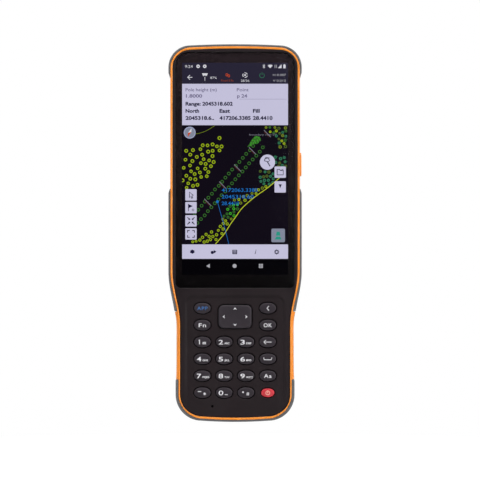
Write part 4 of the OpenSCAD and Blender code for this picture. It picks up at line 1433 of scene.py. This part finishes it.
def instrument_row(view):
    """The header's second row: back, antenna, correction link, satellites, position quality."""
    white = view.on("white", 2)
    white.line([(-25.2, 91.8), (-27.9, 91.8)], 0.42)
    white.line([(-26.6, 93.1), (-28.0, 91.8), (-26.6, 90.5)], 0.42)
    white.shape([(-19.5, 94.2), (-16.1, 94.2), (-16.5, 93.0), (-17.3, 92.4), (-18.3, 92.4), (-19.1, 93.0)])
    white.line([(-17.8, 92.5), (-17.8, 89.8)], 0.3)
    view.on("header", 3).disc(-17.8, 92.5, 0.5, 12)
    white.text("87%", -14.6, 90.9, 1.4, 3.8)
    orange = view.on("orange", 2)
    for x, z in ((-4.9, 93.3), (-3.7, 92.7)):
        orange.line(rounded(x - 0.45, x + 0.45, z - 0.65, z + 0.65, 0.2, steps=2, side=1), 0.3, closed=True)
    view.on("rust", 2).text("Fixed 0.9s", -8.2, 89.3, 1.3, 7.2)
    for start in (20, 140, 260):
        white.line(arc(5.9, 93.1, 1.35, start, start + 85, 8), 0.42)
    white.disc(5.9, 93.1, 0.55, 14)
    white.text("28/36", 3.4, 89.2, 1.3, 5.0)
    teal = view.on("teal", 2)
    teal.line(arc(15.9, 92.9, 1.4, 125, 415, 18), 0.3)
    teal.line([(15.9, 93.2), (15.9, 94.8)], 0.3)
    soft = view.on("soft", 2)
    soft.text("H 0.007", 22.3, 92.6, 1.3, 7.6)
    soft.text("V 0.012", 22.3, 89.2, 1.3, 7.6)


def data_panel(view):
    """The pale panel: two entry fields, a range, and three columns of values."""
    ink, grey = view.on("ink", 2), view.on("grey_ink", 2)
    grey.text("Pole height (m)", -29.2, 83.6, 1.9, 18.4, bold=0.03)
    grey.text("1.8000", -29.0, 79.9, 2.0, 9.6, bold=0.07)
    grey.text("Point", 1.0, 83.6, 1.9, 7.0, bold=0.03)
    grey.text("p 24", 1.2, 79.9, 2.0, 5.9, bold=0.07)
    grey.line([(2.6, 78.95), (30.2, 78.95)], 0.14)
    ink.text("Range: 2045318.602", -29.2, 75.2, 2.15, 27.8, bold=0.11)
    columns = (("North", 8.0, "2045318.6..", 16.8, -29.2), ("East", 6.2, "417206.3385", 18.4, -9.2),
               ("Fill", 4.0, "28.4410", 11.6, 10.5))
    for words, wide, value, value_wide, x in columns:
        ink.text(words, x, 71.0, 2.15, wide, bold=0.11)
        ink.text(value, x, 66.8, 2.15, value_wide, bold=0.11)


def scatter(rng, count, pick, gap, field=None):
    """Places that keep a gap between them and lie in a field, in a fixed order for a fixed seed."""
    found = []
    for _ in range(count * 40):
        x, z = pick(rng)
        if field and not inside(np.array([(x, z)]), field)[0]:
            continue
        if all(math.hypot(x - a, z - b) > gap for a, b in found):
            found.append((x, z))
        if len(found) == count:
            break
    return found


def field_map(view):
    """A survey map: tree rings, a planted road with markers, contour lines, and a measured point."""
    x0, x1, z0, z1 = ACTIVE[0] + 1.2, ACTIVE[1] - 1.2, -5.5, 62.4
    rng = random.Random(11)

    def within(low_x, high_x, low_z, high_z):
        return lambda r: (r.uniform(low_x, high_x), r.uniform(low_z, high_z))

    def tree(colour, k, x, z, r, hole=0.5):
        level = 1 + 2 * (k % 3)
        view.on("map", level).disc(x, z, r + 0.22, 14)
        view.on(colour, level + 1).ring(x, z, r, hole, 14)

    grove = [(-32, 49.5), (-24, 50.2), (-18, 52.6), (-11.5, 53.6), (-7.6, 51.5), (-11.5, 44.5), (-13, 38.0),
             (-17, 33), (-22.5, 28), (-32, 25.5)]
    for k, (x, z) in enumerate([*scatter(rng, 52, within(-31, -7, 25, 54), 2.6, grove), (-9.2, 56.0)]):
        tree("leaf", k, x, z, rng.uniform(1.0, 1.15), 0.6)

    run = Vector((0.655, 0.756))
    side = Vector((-run.y, run.x))
    start = Vector((-24.0, 7.5))
    for k in range(20):
        for shift in (-2.55, 2.55):
            p = start + run * (k * 3.1) + side * (shift + rng.uniform(-0.25, 0.25))
            if x0 < p.x < x1 and p.y < z1:
                tree("green", k, p.x, p.y, 1.05, 0.45)
    for k in range(5):
        p = start + run * (13.2 + 13.4 * k) + side * 1.0
        slant = Vector((2.0, -2.05))
        view.on("dash", 8).line([tuple(p - slant), tuple(p + slant)], 0.42)
        shade_at = p + run * -0.6
        view.on("bark", 7).line([tuple(shade_at - slant * 0.7), tuple(shade_at + slant * 0.7)], 0.5)

    view.on("green", 7).shape([(7.1, 50.7), (9.6, 51.3), (12.3, 53.2), (15.3, 54.4), (14.6, 56.9),
                               (11.9, 57.3), (9.6, 54.8), (8.3, 52.3)])
    thicket = [(8, 51), (15.5, 54.5), (14, 57.5), (10, 55)]
    for x, z in scatter(rng, 12, within(8.5, 15, 51.8, 57), 1.1, thicket):
        view.on("lime", 8).disc(x, z, 0.4, 8)

    yellow = view.on("yellow", 7)
    edge = smooth_path([(26.4, 32.7), (19.6, 27.0), (13.3, 22.5), (8.8, 19.0), (3.7, 14.2), (0.5, 9.7),
                        (-2.7, 5.3), (-5.9, 0.2), (-8.5, -3.0), (-11.6, -6.5)])
    yellow.line(edge, 0.42)
    verge = [(-21, -5.4), (-11.6, -5.4), (-6.6, 0.9), (-3.6, 5.8), (-0.6, 10.2), (3.0, 15.0), (8.4, 19.8),
             (13, 23.6), (19.4, 27.8), (12.5, 26.8), (6.5, 23.5), (-0.5, 19.5), (-5.0, 15.0), (-8.0, 9.0),
             (-9.0, 4.5), (-14.0, 1.0), (-21.5, -2.5), (-26, -5.4)]
    for k, (x, z) in enumerate(scatter(rng, 66, within(-26, 20, -5.4, 28), 1.9, verge)):
        colour = "leaf" if z < 8 or k % 3 == 0 else "olive"
        if 9 < z < 17 and x < -1 + (z - 9) * 0.5:
            colour = "lime" if k % 2 else "green"
        tree(colour, k, x, z, rng.uniform(0.8, 0.95), 0.5)

    for low_x, high_x, low_z, high_z, count in ((23.5, 30, 39.3, 45, 9), (14.0, 22.6, 28.5, 36.5, 15)):
        for k, (x, z) in enumerate(scatter(rng, count, within(low_x, high_x, low_z, high_z), 2.0)):
            tree("teal" if k % 4 else "moss", k, x, z, rng.uniform(0.8, 1.0), 0.6)
    corner = [(18, 62.4), (x1, 62.4), (x1, 50.5), (26.5, 50.5), (24.5, 55)]
    for k, (x, z) in enumerate(scatter(rng, 34, within(18, x1, 50, 62.4), 1.85, corner)):
        tree(("olive", "green", "moss", "teal", "leaf")[k % 5], k, x, z, rng.uniform(0.75, 1.0), 0.55)
    view.on("dash", 9).text("boundary row 07", 8.4, 57.5, 1.1, 16.0)

    view.on("olive", 7).line(smooth_path([(-23.2, 58.4), (-19.8, 59.2), (-16.4, 60.6), (-12.0, 63.3)]), 0.26)
    blue = view.on("blue", 9)
    for words, z, wide in (("4172063.3385", 24.3, 21.2), ("2045318.60", 20.4, 18.8), ("28.4410", 16.5, 10.2)):
        blue.text(words, -7.9, z, 2.15, wide, bold=0.02)
    blue.disc(-10.4, 18.5, 0.85, 14)
    blue.line([(-10.4, 18.5), (-6.0, 2.7), (-3.7, -6.5)], 0.26)


def smooth_path(points, steps=8):
    """A rounded curve through the points."""
    out = []
    n = len(points)
    for i in range(n - 1):
        p = [Vector(points[max(0, min(n - 1, k))]) for k in (i - 1, i, i + 1, i + 2)]
        for s in range(steps):
            t = s / steps
            v = 0.5 * (2 * p[1] + (p[2] - p[0]) * t + (2 * p[0] - 5 * p[1] + 4 * p[2] - p[3]) * t * t
                       + (3 * p[1] - p[0] - 3 * p[2] + p[3]) * t * t * t)
            out.append(tuple(v))
    return out + [tuple(points[-1])]


def map_buttons(view):
    """Round and square buttons over the map, each with its sign."""
    white, ink, panel = view.on("white", 11), view.on("ink", 11), view.on("panel", 10)
    view.on("slate", 9).disc(-26.75, 59.2, 3.5, 36)
    view.on("button", 10).disc(-26.75, 59.2, 2.95, 36)
    white.shape([(-27.7, 59.1), (-25.8, 59.5), (-25.6, 61.9)])
    view.on("orange", 11).shape([(-27.7, 59.1), (-25.8, 59.5), (-27.9, 56.7)])
    panel.disc(19.1, 41.8, 4.5, 40)
    ink.line([(17.5, 43.6), (19.2, 44.3), (20.4, 42.9), (19.6, 42.0), (17.2, 42.6), (17.5, 43.6)], 0.41)
    ink.line([(18.9, 42.3), (20.6, 39.4)], 0.57)
    ink.line([(17.2, 42.6), (18.0, 44.6), (20.4, 44.2)], 0.41)
    for z in (35.9, 27.2):
        panel.box(23.25, 29.95, z - 3.35, z + 3.35, 0.5)
    ink.line([(24.8, 34.3), (24.8, 37.5), (26.2, 37.5), (26.7, 36.9), (28.4, 36.9), (28.4, 34.3)],
             0.49, closed=True)
    ink.line([(26.7, 36.9), (28.4, 37.6), (28.4, 36.9)], 0.35)
    ink.shape([(25.9, 28.3), (27.3, 28.3), (26.6, 26.4)])
    ink.line([(25.7, 28.5), (27.5, 28.5)], 0.41)
    for z in (22.5, 15.0, 7.2, -0.5):
        panel.box(-29.35, -22.65, z - 3.35, z + 3.35, 0.5)
    ink.line([(-26.9, 24.2), (-26.9, 20.9), (-26.1, 21.6), (-25.5, 20.4), (-24.9, 20.7), (-25.5, 21.9),
              (-24.6, 22.1)], 0.49, closed=True)
    ink.shape([(-27.6, 17.1), (-24.9, 15.9), (-27.4, 14.7)])
    ink.line([(-27.5, 17.1), (-27.5, 12.9)], 0.41)
    ink.ring(-24.8, 13.6, 0.7, 0.26)
    for sx in (-1, 1):
        for sz in (-1, 1):
            def corner(row_z, *points):
                """One quarter of a sign on the left column, from points given for the first quarter."""
                return [(-26 + sx * x, row_z + sz * z) for x, z in points]

            ink.shape(corner(7.2, (0.5, 0.5), (1.7, 0.6), (0.6, 1.7)))
            ink.line(corner(7.2, (1.0, 1.0), (2.1, 2.1)), 0.49)
            ink.line(corner(-0.5, (2.0, 0.8), (2.0, 2.0), (0.8, 2.0)), 0.57)
    view.on("button", 10).box(21.4, 29.4, -5.4, 2.6, 0.8)
    aqua = view.on("aqua", 11)
    aqua.shape([(24.1, -1.5), (26.7, -1.5), (26.3, 0.8), (24.5, 0.8)])
    aqua.shape([(23.4, -3.8), (27.4, -3.8), (26.6, -2.1), (24.2, -2.1)])


def toolbars(view):
    """The row of tools under the map, and the navigation bar."""
    ink, soft = view.on("ink", 2), view.on("soft", 2)
    z = -11.15
    for k in (0.0, 0.75):
        ink.shape([(-26.8, z + k - 0.2), (-25.2, z + k - 1.1), (-23.6, z + k - 0.2), (-25.2, z + k + 0.7)])
    ink.disc(-13.4, z - 0.3, 0.95)
    ink.shape([(-12.6, z + 1.2), (-11.0, z + 0.2), (-12.4, z - 0.8)])
    ink.box(-1.6, 1.2, z - 1.3, z + 1.3, 0.2)
    for k in (-0.6, 0.1, 0.8):
        view.on("panel", 3).line([(-1.1, z + k), (0.8, z + k)], 0.25)
    ink.line([(11.8, z - 1.2), (12.15, z + 0.4)], 0.4)
    ink.disc(12.3, z + 1.1, 0.26)
    for tooth in zip(circle(24.5, z, 0.7, 8), circle(24.5, z, 1.5, 8)):
        ink.line(tooth, 0.5)
    ink.ring(24.5, z, 1.15, 0.5)
    z = -19.4
    soft.shape([(-14.9, z + 1.25), (-14.9, z - 1.25), (-17.0, z)])
    soft.disc(-0.3, z, 1.2, 24)
    soft.box(14.0, 16.4, z - 1.2, z + 1.2, 0.2)
    nav = view.on("nav", 3)
    nav.line([(15.2, z - 1.2), (15.2, z + 1.2)], 0.22)
    nav.line([(14.0, z), (16.4, z)], 0.22)


# ---------------------------------------------------------------- small parts

def side_button():
    """Stadium-shaped button with a crowned face, on its stem."""
    low, high = box_mm("side_button")
    cy, cz = (low.y + high.y) / 2, (low.z + high.z) / 2
    skin = Skin(lambda y, x, z: (x, y, z))
    loop = button_loop()
    stem, flange = circle(cy, cz, 1.6, 32), circle(cy, cz, 2.3, 32)
    base = HALF_TOP - BAND_WALL + 0.55
    shoulder = high.x - 0.1
    rings = [skin.ring(grow(loop, -0.05), base), skin.ring(loop, base + 0.08)]
    rings.append(skin.ring(loop, shoulder - 0.6))
    rings += [skin.ring(grow(loop, -inset), shoulder - drop, 0.8) for drop, inset in fillet(0.6, 5)[1:]]
    skin.closed(rings + [skin.ring(grow(loop, -1.5), high.x)])
    foot = low.x + 0.5
    skin.closed([skin.ring(stem, base + 0.1), skin.ring(stem, foot), skin.ring(flange, foot),
                 skin.ring(flange, low.x)])
    skin.build("side_button_cap", MAT["orange"], "side_button", "orange_plastic", ["side_button"])


def camera_lens():
    """Window of the rear camera, with a bright ring and a domed lens."""
    low, high = box_mm("camera_window")
    place = middle_mm("camera_window")
    skin = Skin()
    dome = [(5.0, -0.2), (4.9, -0.06), (4.7, 0.0), (2.9, 0.0), (2.8, -0.12), (2.3, -0.14), (1.7, -0.06),
            (0.9, -0.02)]
    profile = [(5.0, low.y), *((r, high.y + rise) for r, rise in dome)]
    rings = [skin.ring(circle(*place, r, 56), y, 0.4 if r > 4.6 else 0.0) for r, y in profile]
    skin.loft(rings)
    skin.fan(rings[-1], high.y - 0.01)
    skin.cap(rings[0])
    skin.build("camera_lens", MAT["lens"], slot="camera_glass", nodes=["camera_window"], sharp=50)
    trim = Skin()
    section = [(5.08, -0.35), (5.08, 0.0), (4.98, 0.08), (4.62, 0.08), (4.52, 0.0), (4.52, -0.35)]
    rings = [trim.ring(circle(*place, r, 56), high.y + rise, 0.6) for r, rise in section]
    trim.loft(rings + [rings[0]])
    trim.build("camera_trim", MAT["black_steel"], slot="black_screw")


def dress(node, mat, bevel):
    """Keeps a CAD node's shape, with eased edges and a worked material."""
    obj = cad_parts[node]
    if not obj.material_slots:
        obj.data.materials.append(mat)
    for slot in obj.material_slots:
        slot.material = mat
    if bevel:
        weld = obj.modifiers.new("weld", "WELD")
        weld.merge_threshold = 1e-6
        mod = obj.modifiers.new("eased", "BEVEL")
        mod.width = bevel * MM
        mod.segments = 2
        mod.limit_method = "ANGLE"
        mod.angle_limit = math.radians(40)
        mod.harden_normals = True


def inner_parts():
    """CAD nodes whose own shape shows, each with its finish and the width of its eased edges."""
    finishes = {
        "housing_seal": ("seal", 0.05), "door_gasket": ("seal", 0.08), "glass_adhesive": ("tape", 0.0),
        "chassis_plate": ("magnesium", 0.15), "main_board": ("board", 0.06),
        "keypad_board": ("board", 0.06), "board_shields": ("tin", 0.2), "card_socket": ("tin", 0.1),
        "gnss_antenna": ("ceramic", 0.2), "dome_sheet": ("film", 0.0), "keypad_mat": ("mat", 0.1),
        "dpad_pivot": ("steel", 0.08), "side_switch": ("black", 0.12), "battery_pack": ("battery", 0.5),
        "battery_connector": ("brass", 0.08), "door_screw_top": ("steel", 0.12),
        "door_screw_bottom": ("steel", 0.12), "strap_inserts": ("brass", 0.1),
        "housing_screws": ("black_steel", 0.12), "camera_module": ("black", 0.15),
        "flash_led": ("lamp", 0.15), "speaker": ("black", 0.3), "speaker_mesh": ("grille", 0.0),
        # The microphone takes the near-black shade material: painted shade that makes its hole read dark.
        "microphone": ("painted_shade", 0.1), "usb_connector": ("tin", 0.1), "charge_flap": ("flap", 0.22),
    }
    for node, (mat, bevel) in finishes.items():
        dress(node, MAT[mat], bevel)


# ---------------------------------------------------------------- the whole object

front_housing()
rim_band()
for bumper_name in ("top_bumper", "left_bumper", "right_bumper"):
    bumper(bumper_name)
bumper("bottom_bumper", [flap_opening])
rear_cover()
battery_door()
for key_name, place in KEY_GRID.items():
    key_cap(key_name, *place)
    key_legend(key_name, *place)
dpad()
dpad_legend()
cover_glass()
display_cell()
screen = Display()
for draw in (bands, status_rows, instrument_row, data_panel, field_map, map_buttons, toolbars):
    draw(screen)
screen.build()
side_button()
camera_lens()
inner_parts()


# ---------------------------------------------------------------- floor, light and camera

FLAP_ROOM = 0.021
WHITE = (1, 1, 1, 1)


def stage_floor():
    """Pale floor, low enough for the open charge flap. It fades to white far out, and mirrors as dark."""
    disc = bpy.data.meshes.new("floor")
    bm = bmesh.new()
    bmesh.ops.create_circle(bm, cap_ends=True, radius=3.0, segments=96)
    bm.to_mesh(disc)
    bm.free()
    floor = bpy.data.objects.new("floor", disc)
    floor.location.z = CAD_BOX[0][2] - FLAP_ROOM
    bpy.context.scene.collection.objects.link(floor)
    n = Nodes("pale_floor")
    tone = n.span(n.noise(3.0, 2.0), 0.0, 1.0)
    n.surface({"Base Color": n.mix(tone, (0.93, 0.93, 0.93, 1), (0.95, 0.95, 0.95, 1)), "Roughness": 0.9,
               "Specular IOR Level": 0.1})
    away = n.node("ShaderNodeVectorMath", {0: n.place}, operation="LENGTH").outputs["Value"]
    ray = n.node("ShaderNodeLightPath").outputs
    white = n.node("ShaderNodeEmission", {"Color": WHITE}).outputs[0]
    dark = n.node("ShaderNodeEmission", {"Color": (0.05, 0.05, 0.05, 1)}).outputs[0]
    faded = n.math("MULTIPLY", n.rise(away, 0.07, 0.3), ray["Is Camera Ray"])
    shaders = {0: ray["Is Glossy Ray"], 1: n.shader.outputs[0], 2: dark}
    mirrored = n.node("ShaderNodeMixShader", shaders).outputs[0]
    n.show("Material", faded, mirrored, white)
    disc.materials.append(n.mat)


def softbox(name, place, size, power):
    """A soft rectangular light that aims at the object."""
    lamp = bpy.data.lights.new(name, "AREA")
    lamp.shape = "RECTANGLE"
    lamp.size, lamp.size_y = size
    lamp.energy = power
    obj = bpy.data.objects.new(name, lamp)
    obj.location = place
    obj.rotation_euler = (-Vector(place)).to_track_quat("-Z", "Y").to_euler()
    bpy.context.scene.collection.objects.link(obj)


def lights():
    """Soft boxes overhead and at both sides, in front and behind, and a weak one beside the camera."""
    softbox("overhead", (0.0, -0.1, 1.5), (1.6, 1.6), 20)
    softbox("front_right", (1.4, -0.9, 0.5), (0.8, 1.3), 17)
    softbox("front_left", (-1.45, -0.7, 0.3), (0.8, 1.2), 6)
    softbox("back_left", (-1.1, 1.1, 0.7), (0.9, 1.0), 12)
    softbox("back_right", (1.1, 1.2, 0.6), (0.9, 1.0), 10)
    softbox("beside_camera", (0.17, -2.45, 0.13), (0.18, 0.42), 0.4)


def studio():
    """White to the camera. As a light it is pale above and behind, and dark towards the front."""
    world = bpy.data.worlds.new("studio")
    bpy.context.scene.world = world
    n = Nodes("studio", world)
    way = n.node("ShaderNodeSeparateXYZ", {0: n.coord["Generated"]}).outputs
    pale = n.math("MAXIMUM", n.rise(way["Z"], 0.25, 0.75), n.rise(way["Y"], 0.0, 0.8))
    level = n.node("ShaderNodeMapRange", {"Value": pale, "To Min": 0.04, "To Max": 0.85}).outputs["Result"]
    lit = n.node("ShaderNodeBackground", {"Color": WHITE, "Strength": level})
    seen = n.node("ShaderNodeBackground", {"Color": WHITE})
    n.show("World", n.node("ShaderNodeLightPath").outputs["Is Camera Ray"], lit.outputs[0], seen.outputs[0])


FRAME_SPAN = 0.2827
VIEW_DISTANCE = 2.4
VIEW_CENTRE = (0.0029, -0.0041)


def camera():
    """Straight-on view of the display side, with a long lens."""
    lens = bpy.data.cameras.new("camera")
    lens.lens = lens.sensor_width * (VIEW_DISTANCE + CAD_BOX[0][1]) / FRAME_SPAN
    obj = bpy.data.objects.new("camera", lens)
    obj.location = (VIEW_CENTRE[0], -VIEW_DISTANCE, VIEW_CENTRE[1])
    obj.rotation_euler = (math.radians(90), 0, 0)
    bpy.context.scene.collection.objects.link(obj)
    bpy.context.scene.camera = obj
    bpy.context.scene.view_settings.view_transform = "Standard"


stage_floor()
lights()
studio()
camera()
